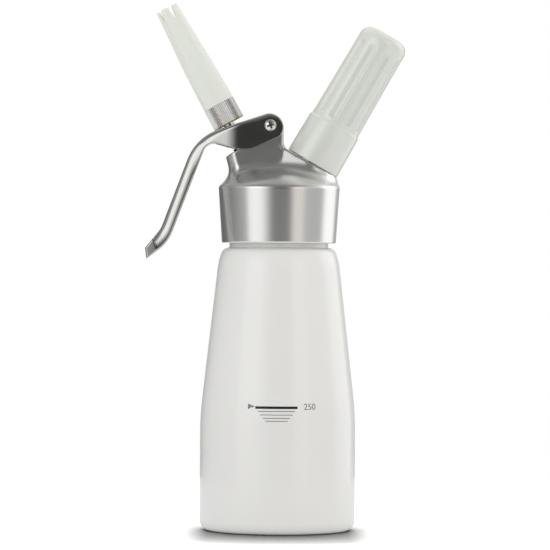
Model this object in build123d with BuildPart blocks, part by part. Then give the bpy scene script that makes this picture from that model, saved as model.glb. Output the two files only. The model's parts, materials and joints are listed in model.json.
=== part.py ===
"""Cream whipper of a quarter litre: bottle, screw-on head, valve, lever, nozzle and gas charger.

Millimetres. The origin is the centre of the base on the table, +Z points up, +X towards the
charger holder, -X towards the nozzle and the lever's handle.
"""

import os
from math import cos, pi, radians, sin, sqrt, tan

from build123d import *

# Clearances
running_gap = 0.05      # shaft in a hole, on the radius
slide_gap = 0.3         # turning or sliding walls, on the radius
face_gap = 0.05         # faces that press together in use

# Bottle
bottle_radius = 38.0
bottle_wall = 1.5
bottle_floor = 2.0
base_fillet = 5.0
cylinder_height = 48.2  # straight side, up to the start of the blend
blend_radius = 150.0    # blend between the straight side and the cone
taper = 6.45            # degrees from vertical
cone_length = 63.6
shoulder_radius = 30.0
shoulder_turn = 15.0    # degrees that the shoulder turns inwards
lip_radius = 4.0
lip_turn = 58.5
neck_radius = 24.2
mouth_radius = 21.0
neck_height = 20.6

# Neck thread, rolled round
neck_pitch = 5.0
neck_thread_height = 1.0
neck_thread_round = 1.2
neck_thread_turns = 2
neck_thread_start = 6.0  # above the foot of the neck

# Head
gasket_thickness = 2.5
skirt_gap = 2.1          # between the skirt and the foot of the neck
skirt_foot_radius = 27.9
skirt_top_radius = 29.7
skirt_rise = 6.5         # skirt's upper corner above the gasket
skirt_top_fillet = 2.5
skirt_foot_fillet = 0.6
roof_slope = 34.6        # degrees from horizontal
cavity_radius = 19.0
cavity_depth = 6.0
blend_fillet = 2.0       # between the roof and what stands on it
bell_shift = 3.0         # bell's axis beside the valve axis
bell_drop = 2.4          # bell's top under the boss's face
bell_length = 14.0
bell_top_radius = 9.6
bell_foot_radius = 17.0
bell_sag = 1.8           # hollow of the bell's side

# Valve axis, through the centre of the nozzle ring's underside
valve_tilt = 28.75
ring_foot_x = -24.7
ring_foot_rise = 37.5    # above the gasket
boss_drop = 13.6         # from the ring's underside to the boss's face
boss_radius = 9.35
boss_draft = 12.7
boss_length = 20.0
roof_cover = 6.0         # metal between the cavity and the foot of the lug

# Valve
stem_radius = 3.5
stem_neck_radius = 3.0   # above the cap
stem_bore_radius = 2.0
stem_port_radius = 1.0
cap_radius = 7.7
cap_height = 6.05
cap_wall = 1.1
cap_top = 2.0
cap_lift = 1.9           # cap's rim above the boss's face
guide_flange = 1.0
guide_length = 8.0
guide_radius = 5.5
spring_space = 4.4       # depth of the spring seat under the boss's face
spring_wire_radius = 0.5
spring_radius = 5.2      # to the middle of the wire
spring_turns = 5
o_ring_section = 0.95
port_radius = 4.6
port_length = 3.9
poppet_radius = 6.8
poppet_thickness = 2.5
seal_thickness = 1.45
nut_thickness = 2.5
nut_across = 7.5
stem_tail_radius = 2.2   # through the seal, the poppet and the nut
pocket_radius = 8.0
pocket_depth = 12.0

# Lever: pivot measured from the centre of the ring's underside
pivot_dx = 20.3
pivot_dz = -1.15
pivot_radius = 2.0
lug_half_width = 9.6
lug_radius = 6.0         # half its width, and the round of its crown
lug_shift = 0.4          # crown's centre, from the pivot
lug_drop = 0.6
lug_edge_fillet = 3.0
washer_thickness = 1.0
washer_radius = 4.5
cheek_play = 0.1
cheek_thickness = 2.5
lever_eye_radius = 6.1
eye_top = (-2.1, 5.7)
eye_foot = (4.1, -5.6)
fork_end = (-36.4, -5.7)
handle_knee = (-53.3, -50.5)
handle_tip_outer = (-61.1, -60.0)
handle_tip_inner = (-60.3, -65.2)
handle_heel = (-50.0, -57.4)
fork_armpit = (-31.1, -7.8)
fork_belly = (-11.7, -12.5)
fork_end_round = 25.0
handle_knee_round = 12.0
handle_tip_round = 2.0
handle_heel_round = 20.0
fork_armpit_round = 5.0
fork_belly_round = 16.0
handle_half_width = 7.6
fork_narrow_from = -17.4  # where the fork starts to narrow, from the pivot
fork_narrow_to = -34.9
fork_round = 8.0
channel_end = -26.4
channel_end_round = 3.0
web_thickness = 2.0
web_end = -7.3
nose_radius = 1.6
slot_gap = 0.9           # stem in the web's slot
slot_swing = 2.2         # extra slot length for the lever's swing
screw_head_radius = 2.9
screw_head_height = 1.9
screw_head_round = 1.3
recess_width = 0.9
recess_length = 3.4
recess_depth = 1.0
recess_turn = 20.0
cap_nut_height = 3.2

# Nozzle
ring_radius = 7.95
ring_length = 10.5
ring_chamfer = 0.25
knurl_teeth = 50
knurl_depth = 0.36
ring_floor = 5.0
ring_pocket_radius = 5.8
thread_reach = 5.6        # stem end above the ring's underside
nozzle_washer_thickness = 1.0
nozzle_washer_radius = 5.5
nozzle_length = 53.7
nozzle_foot_radius = 7.9
nozzle_middle_radius = 7.3
nozzle_tip_radius = 5.6
nozzle_middle = 24.5      # above the ring
nozzle_bore_foot = 3.2
nozzle_bore_tip = 4.3
tip_teeth = 5
notch_width = 2.6
notch_depth = 6.2
notch_turn = 18.0
flute_radius = 1.8
flute_depth = 0.45
flute_start = 8.0         # above the ring, where the flutes fade out

# Gas charger side: seat centre measured from the head's axis and the gasket
charger_tilt = 30.0
seat_x = 16.05
seat_rise = 17.85
seat_radius = 12.5
seat_depth = 10.0
post_radius = 10.3
post_length = 15.0
post_pocket_radius = 5.0
post_floor = 4.5          # pocket floor above the seat
post_pitch = 3.0
post_thread_height = 0.6
post_thread_round = 0.8
post_thread_turns = 3
post_thread_start = 3.5
gas_channel_radius = 1.2
housing_radius = 4.0
housing_length = 8.0
check_valve_radius = 3.0
check_valve_length = 3.0
pin_radius = 0.9
pin_bore_radius = 0.4
pin_reach = 3.0           # into the charger's neck
pin_bevel = 1.0
charger_seal_thickness = 1.5
charger_radius = 9.0
charger_length = 65.0
charger_neck_radius = 4.4
charger_neck_length = 9.0
charger_shoulder = 10.0
charger_wall = 1.8
charger_hole_radius = 1.6
holder_foot_wall = 2.55
holder_skirt_draft = 0.3
holder_skirt_length = 21.0
holder_grip_wall = 3.5
holder_grip_draft = 0.55
holder_step = 1.0
holder_end_fillet = 5.0
holder_top = 1.8
groove_count = 10
groove_radius = 4.0
groove_depth = 0.7
groove_start = 25.5
groove_end = 66.0
groove_turn = 22.0

# Heights along the bottle's outline, worked out tangent by tangent
shoulder_end_turn = taper + shoulder_turn
lip_end_turn = shoulder_end_turn + lip_turn
cone_foot_z = cylinder_height + blend_radius * sin(radians(taper))
cone_foot_x = bottle_radius - blend_radius * (1 - cos(radians(taper)))
cone_top_z = cone_foot_z + cone_length * cos(radians(taper))
cone_top_x = cone_foot_x - cone_length * sin(radians(taper))
shoulder_z = cone_top_z + shoulder_radius * (sin(radians(shoulder_end_turn)) - sin(radians(taper)))
shoulder_x = cone_top_x - shoulder_radius * (cos(radians(taper)) - cos(radians(shoulder_end_turn)))
lip_z = shoulder_z + lip_radius * (sin(radians(lip_end_turn)) - sin(radians(shoulder_end_turn)))
lip_x = shoulder_x - lip_radius * (cos(radians(shoulder_end_turn)) - cos(radians(lip_end_turn)))
neck_foot_z = lip_z + (lip_x - neck_radius) / tan(radians(lip_end_turn))
neck_top_z = neck_foot_z + neck_height

# Heights in the head
gasket_top_z = neck_top_z + gasket_thickness
skirt_foot_z = neck_foot_z + skirt_gap
skirt_top_z = gasket_top_z + skirt_rise
cavity_top_z = gasket_top_z + cavity_depth
head_bore_radius = neck_radius + neck_thread_height + slide_gap
roof_apex_z = skirt_top_z + skirt_top_radius * tan(radians(roof_slope))

# Valve frame: distances run outwards along the valve axis from the ring's underside
ring_foot = Vector(ring_foot_x, 0, gasket_top_z + ring_foot_rise)
valve_out = Vector(-sin(radians(valve_tilt)), 0, cos(radians(valve_tilt)))
valve_side = Vector(cos(radians(valve_tilt)), 0, sin(radians(valve_tilt)))
valve_plane = Plane(origin=ring_foot, x_dir=valve_side, z_dir=valve_out)
valve_section = Plane(origin=ring_foot, x_dir=valve_side, z_dir=(0, -1, 0))
valve_axis = Axis(ring_foot, valve_out)
boss_face = -boss_drop
cap_rim = boss_face + cap_lift
cap_face = cap_rim + cap_height
cap_ceiling = cap_face - cap_top
spring_seat = boss_face - spring_space
guide_floor = spring_seat - guide_flange
guide_end = guide_floor - guide_length
o_ring_radius = stem_radius + running_gap + o_ring_section
o_ring_middle = guide_end - face_gap - o_ring_section
port_top = o_ring_middle - o_ring_section - face_gap
valve_seat = port_top - port_length
seal_top = valve_seat - face_gap
poppet_top = seal_top - seal_thickness
poppet_end = poppet_top - poppet_thickness
stem_end = poppet_end - nut_thickness
counterbore_radius = cap_radius + slide_gap

# Lever frame
pivot = Vector(ring_foot_x + pivot_dx, 0, ring_foot.Z + pivot_dz)
lever_plane = Plane(origin=pivot, x_dir=(1, 0, 0), z_dir=(0, -1, 0))
lever_top_plane = Plane(origin=pivot, x_dir=(1, 0, 0), z_dir=(0, 0, 1))
pivot_axis = Axis(pivot, (0, 1, 0))
fork_inner = lug_half_width + washer_thickness + cheek_play
fork_outer = fork_inner + cheek_thickness
web_slope = (eye_top[1] - fork_end[1]) / (eye_top[0] - fork_end[0])

# Charger frame: distances run outwards along the charger axis from the seat
seat_centre = Vector(seat_x, 0, gasket_top_z + seat_rise)
charger_out = Vector(sin(radians(charger_tilt)), 0, cos(radians(charger_tilt)))
charger_side = Vector(cos(radians(charger_tilt)), 0, -sin(radians(charger_tilt)))
charger_plane = Plane(origin=seat_centre, x_dir=charger_side, z_dir=charger_out)
charger_section = Plane(origin=seat_centre, x_dir=charger_side, z_dir=(0, -1, 0))
charger_axis = Axis(seat_centre, charger_out)
charger_nose = post_floor + charger_seal_thickness + face_gap
charger_end = charger_nose + charger_length
gas_channel_end = -(seat_centre.Z - cavity_top_z) / cos(radians(charger_tilt)) - 2 * gas_channel_radius
housing_end = post_floor - housing_length
check_valve_end = housing_end - check_valve_length
holder_foot = slide_gap
holder_bore_radius = post_radius + post_thread_height + slide_gap
holder_bore_end = post_length + 2 * slide_gap
charger_bore_radius = charger_radius + slide_gap
holder_foot_radius = holder_bore_radius + holder_foot_wall
holder_skirt_radius = holder_foot_radius - holder_skirt_draft
holder_grip_radius = charger_bore_radius + holder_grip_wall
holder_end_radius = holder_grip_radius - holder_grip_draft
holder_end = charger_end + face_gap + holder_top

os.makedirs("parts", exist_ok=True)


def turn(section, axis, points, mode=Mode.ADD):
    """Turn a closed outline of (radius, distance) points about an axis."""
    with BuildSketch(section) as outline:
        with BuildLine():
            Polyline(*points, close=True)
        make_face()
    revolve(outline.sketch, axis=axis, mode=mode)


def tube_outline(inner, outer, low, high):
    """Outline of a plain ring between two radii and two distances."""
    return [(inner, low), (outer, low), (outer, high), (inner, high)]


def bottle_outline(inset, floor_z, opening_radius):
    """Side of the bottle, drawn at a distance inside its outer skin."""
    corner = base_fillet - inset
    base = Line((0, floor_z), (bottle_radius - base_fillet, floor_z))
    foot = JernArc(base @ 1, (1, 0), corner, 90)
    side = Line(foot @ 1, (bottle_radius - inset, cylinder_height))
    blend = JernArc(side @ 1, (0, 1), blend_radius - inset, taper)
    cone = PolarLine(blend @ 1, cone_length, direction=blend % 1)
    shoulder = JernArc(cone @ 1, cone % 1, shoulder_radius - inset, shoulder_turn)
    lip = JernArc(shoulder @ 1, shoulder % 1, lip_radius - inset, lip_turn)
    reach = ((lip @ 1).X - opening_radius) / sin(radians(lip_end_turn))
    step = PolarLine(lip @ 1, reach, direction=lip % 1)
    neck = Line(step @ 1, (opening_radius, neck_top_z))
    rim = Line(neck @ 1, (0, neck_top_z))
    Line(rim @ 1, base @ 0)


def biarc_helix(place, radius, start, rise, turns, steps_per_turn=4):
    """Edges of a helix drawn as pairs of arcs, each pair a quarter turn."""
    count = round(turns * steps_per_turn)
    step = 2 * pi * turns / count
    climb = rise / count
    slope = Vector(0, 0, climb / step)

    def point(i):
        return Vector(radius * cos(i * step), radius * sin(i * step), start + climb * i)

    def heading(i):
        return (Vector(-radius * sin(i * step), radius * cos(i * step), 0) + slope).normalized()

    edges = []
    for i in range(count):
        chord = point(i + 1) - point(i)
        both = heading(i) + heading(i + 1)
        square = 4 - both.dot(both)
        cross = chord.dot(both)
        reach = (sqrt(cross * cross + square * chord.dot(chord)) - cross) / square
        joint = (point(i) + heading(i) * reach + point(i + 1) - heading(i + 1) * reach) * 0.5
        ends = [place.from_local_coords(p) for p in (point(i), joint, point(i + 1))]
        first = place.to_local_coords(place.origin)
        leave = place.from_local_coords(first + heading(i)) - place.from_local_coords(first)
        edges.append(Edge.make_tangent_arc(ends[0], leave, ends[1]))
        edges.append(Edge.make_tangent_arc(ends[1], edges[-1] % 1, ends[2]))
    return edges


def coil(place, radius, start, pitch, turns, round_radius):
    """Sweep a round wire along a helix, as a thread's ridge or a spring, into the part being built."""
    path = Wire(biarc_helix(place, radius, start, pitch * turns, turns))
    with BuildSketch(Plane(origin=path @ 0, z_dir=path % 0)) as section:
        Circle(round_radius)
    sweep(section.sketch, path=path)
    return path


def least_gap(path, turns, round_radius, samples_per_turn=48):
    """Least gap between a coil's neighbouring turns, measured on points along it."""
    count = round(turns * samples_per_turn)
    points = [path @ (i / count) for i in range(count + 1)]
    half_turn = samples_per_turn // 2
    spans = [(a - b).length for i, a in enumerate(points) for b in points[i + half_turn:]]
    return min(spans) - 2 * round_radius


# Bottle
with BuildPart() as bottle:
    with BuildSketch(Plane.XZ):
        with BuildLine():
            bottle_outline(0, 0, neck_radius)
        make_face()
    revolve(axis=Axis.Z)
    with BuildSketch(Plane.XZ):
        with BuildLine():
            bottle_outline(bottle_wall, bottle_floor, mouth_radius)
        make_face()
    revolve(axis=Axis.Z, mode=Mode.SUBTRACT)
    neck_ridge_radius = neck_radius + neck_thread_height - neck_thread_round
    neck_ridge_start = neck_foot_z + neck_thread_start
    coil(Plane.XY, neck_ridge_radius, neck_ridge_start, neck_pitch, neck_thread_turns, neck_thread_round)
bottle.part.label = "bottle"
export_step(bottle.part, "parts/bottle.step")

with BuildPart() as head_gasket:
    turn(Plane.XZ, Axis.Z, tube_outline(mouth_radius, neck_radius, neck_top_z, gasket_top_z))
head_gasket.part.label = "head_gasket"
export_step(head_gasket.part, "parts/head_gasket.step")


# Head: turned body, valve boss, charger seat, the bell that joins them and the lever lug, then the bores
with BuildPart() as lug:
    with BuildSketch(lever_plane):
        with BuildLine():
            left, right = lug_shift - lug_radius, lug_shift + lug_radius
            lug_foot = cavity_top_z + roof_cover - pivot.Z
            crown = ThreePointArc((right, -lug_drop), (lug_shift, lug_radius - lug_drop), (left, -lug_drop))
            Polyline(crown @ 1, (left, lug_foot), (right, lug_foot), crown @ 0)
        make_face()
    extrude(amount=lug_half_width, both=True)
    fillet(lug.edges().filter_by(Axis.Z).group_by(Axis.X)[-1], lug_edge_fillet)

with BuildPart() as head_casting:
    with BuildSketch(Plane.XZ):
        with BuildLine():
            Polyline(
                (0, skirt_foot_z),
                (skirt_foot_radius, skirt_foot_z),
                (skirt_top_radius, skirt_top_z),
                (0, roof_apex_z),
                close=True,
            )
        make_face()
    revolve(axis=Axis.Z)
    rims = head_casting.edges().filter_by(GeomType.CIRCLE).sort_by(Axis.Z)
    fillet(rims[-1], skirt_top_fillet)
    fillet(head_casting.edges().filter_by(GeomType.CIRCLE).sort_by(Axis.Z)[0], skirt_foot_fillet)
    boss_foot_radius = boss_radius + boss_length * tan(radians(boss_draft))
    turn(valve_section, valve_axis, [
        (0, boss_face),
        (boss_radius, boss_face),
        (boss_foot_radius, boss_face - boss_length),
        (0, boss_face - boss_length),
    ])
    fillet(head_casting.edges(Select.NEW).filter_by(GeomType.BSPLINE), blend_fillet)
    turn(charger_section, charger_axis, tube_outline(0, seat_radius, -seat_depth, 0))
    fillet(head_casting.edges(Select.NEW).filter_by(GeomType.BSPLINE), blend_fillet)
    bell_axis = Axis(ring_foot + valve_side * bell_shift, valve_out)
    bell_top = boss_face - bell_drop
    with BuildSketch(valve_section) as bell_section:
        with BuildLine():
            bell_rim = (bell_shift + bell_top_radius, bell_top)
            bell_foot = (bell_shift + bell_foot_radius, bell_top - bell_length)
            waist = ((bell_rim[0] + bell_foot[0]) / 2 - bell_sag, bell_top - bell_length / 2)
            Line((bell_shift, bell_top), bell_rim)
            ThreePointArc(bell_rim, waist, bell_foot)
            Polyline(bell_foot, (bell_shift, bell_foot[1]), (bell_shift, bell_top))
        make_face()
    revolve(bell_section.sketch, axis=bell_axis)
    add(lug.part)
    turn(charger_section, charger_axis, tube_outline(0, post_radius, 0, post_length))
    post_ridge_radius = post_radius + post_thread_height - post_thread_round
    coil(charger_plane, post_ridge_radius, post_thread_start, post_pitch, post_thread_turns, post_thread_round)
    turn(Plane.XZ, Axis.Z, [
        (0, skirt_foot_z),
        (head_bore_radius, skirt_foot_z),
        (head_bore_radius, gasket_top_z),
        (cavity_radius, gasket_top_z),
        (cavity_radius, cavity_top_z),
        (0, cavity_top_z),
    ], mode=Mode.SUBTRACT)
    turn(valve_section, valve_axis, [
        (0, boss_face),
        (counterbore_radius, boss_face),
        (counterbore_radius, guide_floor),
        (guide_radius, guide_floor),
        (guide_radius, port_top),
        (port_radius, port_top),
        (port_radius, valve_seat),
        (pocket_radius, valve_seat),
        (pocket_radius, valve_seat - pocket_depth),
        (0, valve_seat - pocket_depth),
    ], mode=Mode.SUBTRACT)
    turn(charger_section, charger_axis, [
        (0, post_length),
        (post_pocket_radius, post_length),
        (post_pocket_radius, post_floor),
        (housing_radius, post_floor),
        (housing_radius, housing_end),
        (check_valve_radius, housing_end),
        (check_valve_radius, check_valve_end),
        (gas_channel_radius, check_valve_end),
        (gas_channel_radius, gas_channel_end),
        (0, gas_channel_end),
    ], mode=Mode.SUBTRACT)
    pivot_hole = tube_outline(0, pivot_radius + running_gap, -lug_half_width, lug_half_width)
    turn(lever_top_plane, pivot_axis, pivot_hole, mode=Mode.SUBTRACT)
head_casting.part.label = "head_casting"
export_step(head_casting.part, "parts/head_casting.step")

# Valve
with BuildPart() as valve_guide:
    turn(valve_section, valve_axis, [
        (stem_radius + running_gap, guide_end),
        (guide_radius - running_gap, guide_end),
        (guide_radius - running_gap, guide_floor),
        (counterbore_radius - running_gap, guide_floor),
        (counterbore_radius - running_gap, spring_seat),
        (stem_radius + running_gap, spring_seat),
    ])
valve_guide.part.label = "valve_guide"
export_step(valve_guide.part, "parts/valve_guide.step")

with BuildPart() as stem_o_ring:
    with BuildSketch(valve_section):
        with Locations((o_ring_radius, o_ring_middle)):
            Circle(o_ring_section)
    revolve(axis=valve_axis)
stem_o_ring.part.label = "stem_o_ring"
export_step(stem_o_ring.part, "parts/stem_o_ring.step")

with BuildPart() as valve_spring:
    wire_inset = spring_wire_radius + face_gap
    spring_rise = cap_ceiling - spring_seat - 2 * wire_inset
    spring_pitch = spring_rise / spring_turns
    spring_start = spring_seat + wire_inset
    wire = coil(valve_plane, spring_radius, spring_start, spring_pitch, spring_turns, spring_wire_radius)
valve_spring.part.label = "valve_spring"
export_step(valve_spring.part, "parts/valve_spring.step")
print("valve_spring: least gap to itself", round(least_gap(wire, spring_turns, spring_wire_radius), 2), "mm")

with BuildPart() as valve_stem:
    port_level = (port_top + valve_seat) / 2
    bore_end = port_level - 2 * stem_port_radius
    turn(valve_section, valve_axis, [
        (stem_bore_radius, thread_reach),
        (stem_neck_radius, thread_reach),
        (stem_neck_radius, cap_ceiling),
        (stem_radius, cap_ceiling),
        (stem_radius, seal_top),
        (stem_tail_radius, seal_top),
        (stem_tail_radius, stem_end),
        (0, stem_end),
        (0, bore_end),
        (stem_bore_radius, bore_end),
    ])
    with Locations(valve_plane.offset(port_level)):
        Cylinder(stem_port_radius, 4 * stem_radius, rotation=(90, 0, 0), mode=Mode.SUBTRACT)
        Cylinder(stem_port_radius, 4 * stem_radius, rotation=(0, 90, 0), mode=Mode.SUBTRACT)
valve_stem.part.label = "valve_stem"
export_step(valve_stem.part, "parts/valve_stem.step")

with BuildPart() as spring_cap:
    turn(valve_section, valve_axis, [
        (stem_neck_radius + running_gap, cap_ceiling),
        (cap_radius - cap_wall, cap_ceiling),
        (cap_radius - cap_wall, cap_rim),
        (cap_radius, cap_rim),
        (cap_radius, cap_face),
        (stem_neck_radius + running_gap, cap_face),
    ])
spring_cap.part.label = "spring_cap"
export_step(spring_cap.part, "parts/spring_cap.step")

tail_hole_radius = stem_tail_radius + running_gap
with BuildPart() as poppet_seal:
    turn(valve_section, valve_axis, tube_outline(tail_hole_radius, poppet_radius, poppet_top, seal_top))
poppet_seal.part.label = "poppet_seal"
export_step(poppet_seal.part, "parts/poppet_seal.step")

with BuildPart() as poppet:
    turn(valve_section, valve_axis, tube_outline(tail_hole_radius, poppet_radius, poppet_end, poppet_top))
poppet.part.label = "poppet"
export_step(poppet.part, "parts/poppet.step")

with BuildPart() as poppet_nut:
    with BuildSketch(valve_plane.offset(stem_end)):
        RegularPolygon(nut_across / 2, 6, major_radius=False)
        Circle(tail_hole_radius, mode=Mode.SUBTRACT)
    extrude(amount=nut_thickness)
poppet_nut.part.label = "poppet_nut"
export_step(poppet_nut.part, "parts/poppet_nut.step")

# Lever: side outline cut to the plan outline, then hollowed into a fork
with BuildPart() as channel:
    def web_underside(x):
        return eye_top[1] + web_slope * (x - eye_top[0]) - web_thickness * sqrt(1 + web_slope ** 2)

    reach = 2 * lever_eye_radius
    with BuildSketch(lever_plane):
        with BuildLine():
            Polyline(
                (web_end, reach),
                (web_end, web_underside(web_end)),
                (2 * channel_end, web_underside(2 * channel_end)),
                (2 * channel_end, handle_tip_inner[1]),
                (reach, handle_tip_inner[1]),
                (reach, reach),
                close=True,
            )
        make_face()
    extrude(amount=fork_outer, both=True)
    narrowing = (fork_outer - handle_half_width) / (fork_narrow_from - fork_narrow_to)
    end_half_width = fork_inner - narrowing * (fork_narrow_from - channel_end)
    with BuildSketch(lever_top_plane.offset(handle_tip_inner[1])):
        with BuildLine():
            FilletPolyline(
                (reach, fork_inner),
                (fork_narrow_from, fork_inner),
                (channel_end, end_half_width),
                (channel_end, -end_half_width),
                (fork_narrow_from, -fork_inner),
                (reach, -fork_inner),
                radius=[fork_round, channel_end_round, channel_end_round, fork_round],
            )
            Line((reach, -fork_inner), (reach, fork_inner))
        make_face()
    extrude(amount=reach - handle_tip_inner[1], mode=Mode.INTERSECT)

with BuildPart() as lever:
    with BuildSketch(lever_plane):
        with BuildLine():
            edge = FilletPolyline(
                eye_top,
                fork_end,
                handle_knee,
                handle_tip_outer,
                handle_tip_inner,
                handle_heel,
                fork_armpit,
                fork_belly,
                eye_foot,
                radius=[
                    fork_end_round,
                    handle_knee_round,
                    handle_tip_round,
                    handle_tip_round,
                    handle_heel_round,
                    fork_armpit_round,
                    fork_belly_round,
                ],
            )
            ThreePointArc(edge @ 1, (lever_eye_radius, 0), edge @ 0)
        make_face()
    extrude(amount=fork_outer, both=True)
    tip = 2 * handle_tip_outer[0]
    with BuildSketch(lever_top_plane.offset(2 * handle_tip_inner[1])):
        with BuildLine():
            side = FilletPolyline(
                (reach, fork_outer),
                (fork_narrow_from, fork_outer),
                (fork_narrow_to, handle_half_width),
                (tip, handle_half_width),
                radius=[fork_round, fork_round],
            )
            mirror(side, about=Plane.XZ)
            Line((reach, -fork_outer), (reach, fork_outer))
            Line((tip, -handle_half_width), (tip, handle_half_width))
        make_face()
    extrude(amount=reach - 2 * handle_tip_inner[1], mode=Mode.INTERSECT)
    add(channel.part, mode=Mode.SUBTRACT)
    nose_level = cap_face + face_gap + nose_radius
    nose_half_length = (fork_inner + end_half_width) / 2
    with Locations(valve_plane.offset(nose_level)):
        Cylinder(nose_radius, 2 * nose_half_length, rotation=(90, 0, 0))
    slot_half_width = stem_neck_radius + slot_gap
    with BuildSketch(valve_plane.offset(cap_face)):
        SlotCenterToCenter(slot_swing, 2 * slot_half_width)
    extrude(amount=2 * lever_eye_radius, mode=Mode.SUBTRACT)
    eye_hole = tube_outline(0, pivot_radius + running_gap, -fork_outer, fork_outer)
    turn(lever_top_plane, pivot_axis, eye_hole, mode=Mode.SUBTRACT)
lever.part.label = "lever"
export_step(lever.part, "parts/lever.step")

screw_seat = fork_outer + cheek_play
nut_reach = cap_nut_height / 2
with BuildPart() as pivot_screw:
    turn(lever_top_plane, pivot_axis, [
        (0, -screw_seat - screw_head_height),
        (screw_head_radius, -screw_seat - screw_head_height),
        (screw_head_radius, -screw_seat),
        (pivot_radius, -screw_seat),
        (pivot_radius, screw_seat + nut_reach),
        (0, screw_seat + nut_reach),
    ])
    fillet(pivot_screw.faces().sort_by(Axis.Y)[0].edges(), screw_head_round)
    with BuildSketch(lever_plane.offset(screw_seat + screw_head_height)):
        Rectangle(recess_length, recess_width, rotation=recess_turn)
        Rectangle(recess_width, recess_length, rotation=recess_turn)
    extrude(amount=-recess_depth, mode=Mode.SUBTRACT)
pivot_screw.part.label = "pivot_screw"
export_step(pivot_screw.part, "parts/pivot_screw.step")

with BuildPart() as pivot_nut:
    thread_wall = pivot_radius + running_gap
    thread_end = screw_seat + nut_reach + slide_gap
    turn(lever_top_plane, pivot_axis, [
        (0, screw_seat + cap_nut_height),
        (screw_head_radius, screw_seat + cap_nut_height),
        (screw_head_radius, screw_seat),
        (thread_wall, screw_seat),
        (thread_wall, thread_end),
        (0, thread_end),
    ])
    fillet(pivot_nut.faces().sort_by(Axis.Y)[-1].edges(), screw_head_round)
pivot_nut.part.label = "pivot_nut"
export_step(pivot_nut.part, "parts/pivot_nut.step")

with BuildPart() as pivot_washers:
    for face in (-lug_half_width - washer_thickness, lug_half_width):
        hole = pivot_radius + running_gap
        turn(lever_top_plane, pivot_axis, tube_outline(hole, washer_radius, face, face + washer_thickness))
pivot_washers.part.label = "pivot_washers"
export_step(pivot_washers.part, "parts/pivot_washers.step")

# Nozzle
washer_foot = thread_reach + face_gap
spigot_foot = washer_foot + nozzle_washer_thickness + face_gap
nozzle_tip = ring_length + nozzle_length
with BuildPart() as nozzle_washer:
    washer_outline = tube_outline(
        stem_bore_radius, nozzle_washer_radius, washer_foot, washer_foot + nozzle_washer_thickness
    )
    turn(valve_section, valve_axis, washer_outline)
nozzle_washer.part.label = "nozzle_washer"
export_step(nozzle_washer.part, "parts/nozzle_washer.step")

with BuildPart() as nozzle_ring:
    with BuildSketch(valve_plane):
        with BuildLine():
            knurl = []
            for tooth in range(knurl_teeth):
                for part_of_tooth, radius in ((0.0, ring_radius - knurl_depth), (0.5, ring_radius)):
                    angle = 2 * pi * (tooth + part_of_tooth) / knurl_teeth
                    knurl.append((radius * cos(angle), radius * sin(angle)))
            Polyline(*knurl, close=True)
        make_face()
    extrude(amount=ring_length)
    turn(valve_section, valve_axis, [
        (0, 0),
        (ring_radius - ring_chamfer, 0),
        (ring_radius, ring_chamfer),
        (ring_radius, ring_length - ring_chamfer),
        (ring_radius - ring_chamfer, ring_length),
        (0, ring_length),
    ], mode=Mode.INTERSECT)
    turn(valve_section, valve_axis, [
        (0, 0),
        (stem_neck_radius + running_gap, 0),
        (stem_neck_radius + running_gap, ring_floor),
        (ring_pocket_radius, ring_floor),
        (ring_pocket_radius, ring_length),
        (0, ring_length),
    ], mode=Mode.SUBTRACT)
nozzle_ring.part.label = "nozzle_ring"
export_step(nozzle_ring.part, "parts/nozzle_ring.step")

with BuildPart() as nozzle:
    spigot_radius = ring_pocket_radius - running_gap
    with BuildSketch(valve_section):
        with BuildLine():
            skin = ThreePointArc(
                (nozzle_foot_radius, ring_length),
                (nozzle_middle_radius, ring_length + nozzle_middle),
                (nozzle_tip_radius, nozzle_tip),
            )
            Polyline(
                skin @ 1,
                (nozzle_bore_tip, nozzle_tip),
                (nozzle_bore_foot, spigot_foot),
                (spigot_radius, spigot_foot),
                (spigot_radius, ring_length),
                skin @ 0,
            )
        make_face()
    revolve(axis=valve_axis)
    for tooth in range(tip_teeth):
        angle = radians(notch_turn - 90) + 2 * pi * tooth / tip_teeth
        outwards = valve_side * cos(angle) + Vector(0, 1, 0) * sin(angle)
        tip_centre = ring_foot + valve_out * nozzle_tip
        notch_plane = Plane(origin=tip_centre, x_dir=valve_out.cross(outwards), z_dir=outwards)
        with BuildSketch(notch_plane):
            with BuildLine():
                Polyline((-notch_width / 2, 0), (0, -notch_depth), (notch_width / 2, 0), close=True)
            make_face()
        extrude(amount=nozzle_foot_radius, mode=Mode.SUBTRACT)
        flute_foot = ring_foot + valve_out * (ring_length + flute_start)
        flute_foot += outwards * (nozzle_foot_radius + flute_radius)
        flute_tip = tip_centre + outwards * (nozzle_tip_radius + flute_radius - flute_depth)
        with BuildSketch(Plane(origin=flute_foot, z_dir=flute_tip - flute_foot)):
            Circle(flute_radius)
        extrude(amount=(flute_tip - flute_foot).length + flute_radius, mode=Mode.SUBTRACT)
nozzle.part.label = "nozzle"
export_step(nozzle.part, "parts/nozzle.step")

# Gas charger and what opens it
with BuildPart() as pin_housing:
    pin_hole_radius = pin_radius + running_gap
    housing_outline = tube_outline(pin_hole_radius, housing_radius - running_gap, housing_end, post_floor)
    turn(charger_section, charger_axis, housing_outline)
pin_housing.part.label = "pin_housing"
export_step(pin_housing.part, "parts/pin_housing.step")

with BuildPart() as piercing_pin:
    pin_top = charger_nose + pin_reach
    turn(charger_section, charger_axis, [
        (pin_bore_radius, housing_end),
        (pin_radius, housing_end),
        (pin_radius, pin_top - pin_bevel),
        (pin_bore_radius, pin_top),
    ])
piercing_pin.part.label = "piercing_pin"
export_step(piercing_pin.part, "parts/piercing_pin.step")

with BuildPart() as charger_seal:
    seal_outline = tube_outline(
        pin_hole_radius, post_pocket_radius - running_gap, post_floor, post_floor + charger_seal_thickness
    )
    turn(charger_section, charger_axis, seal_outline)
charger_seal.part.label = "charger_seal"
export_step(charger_seal.part, "parts/charger_seal.step")

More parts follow.
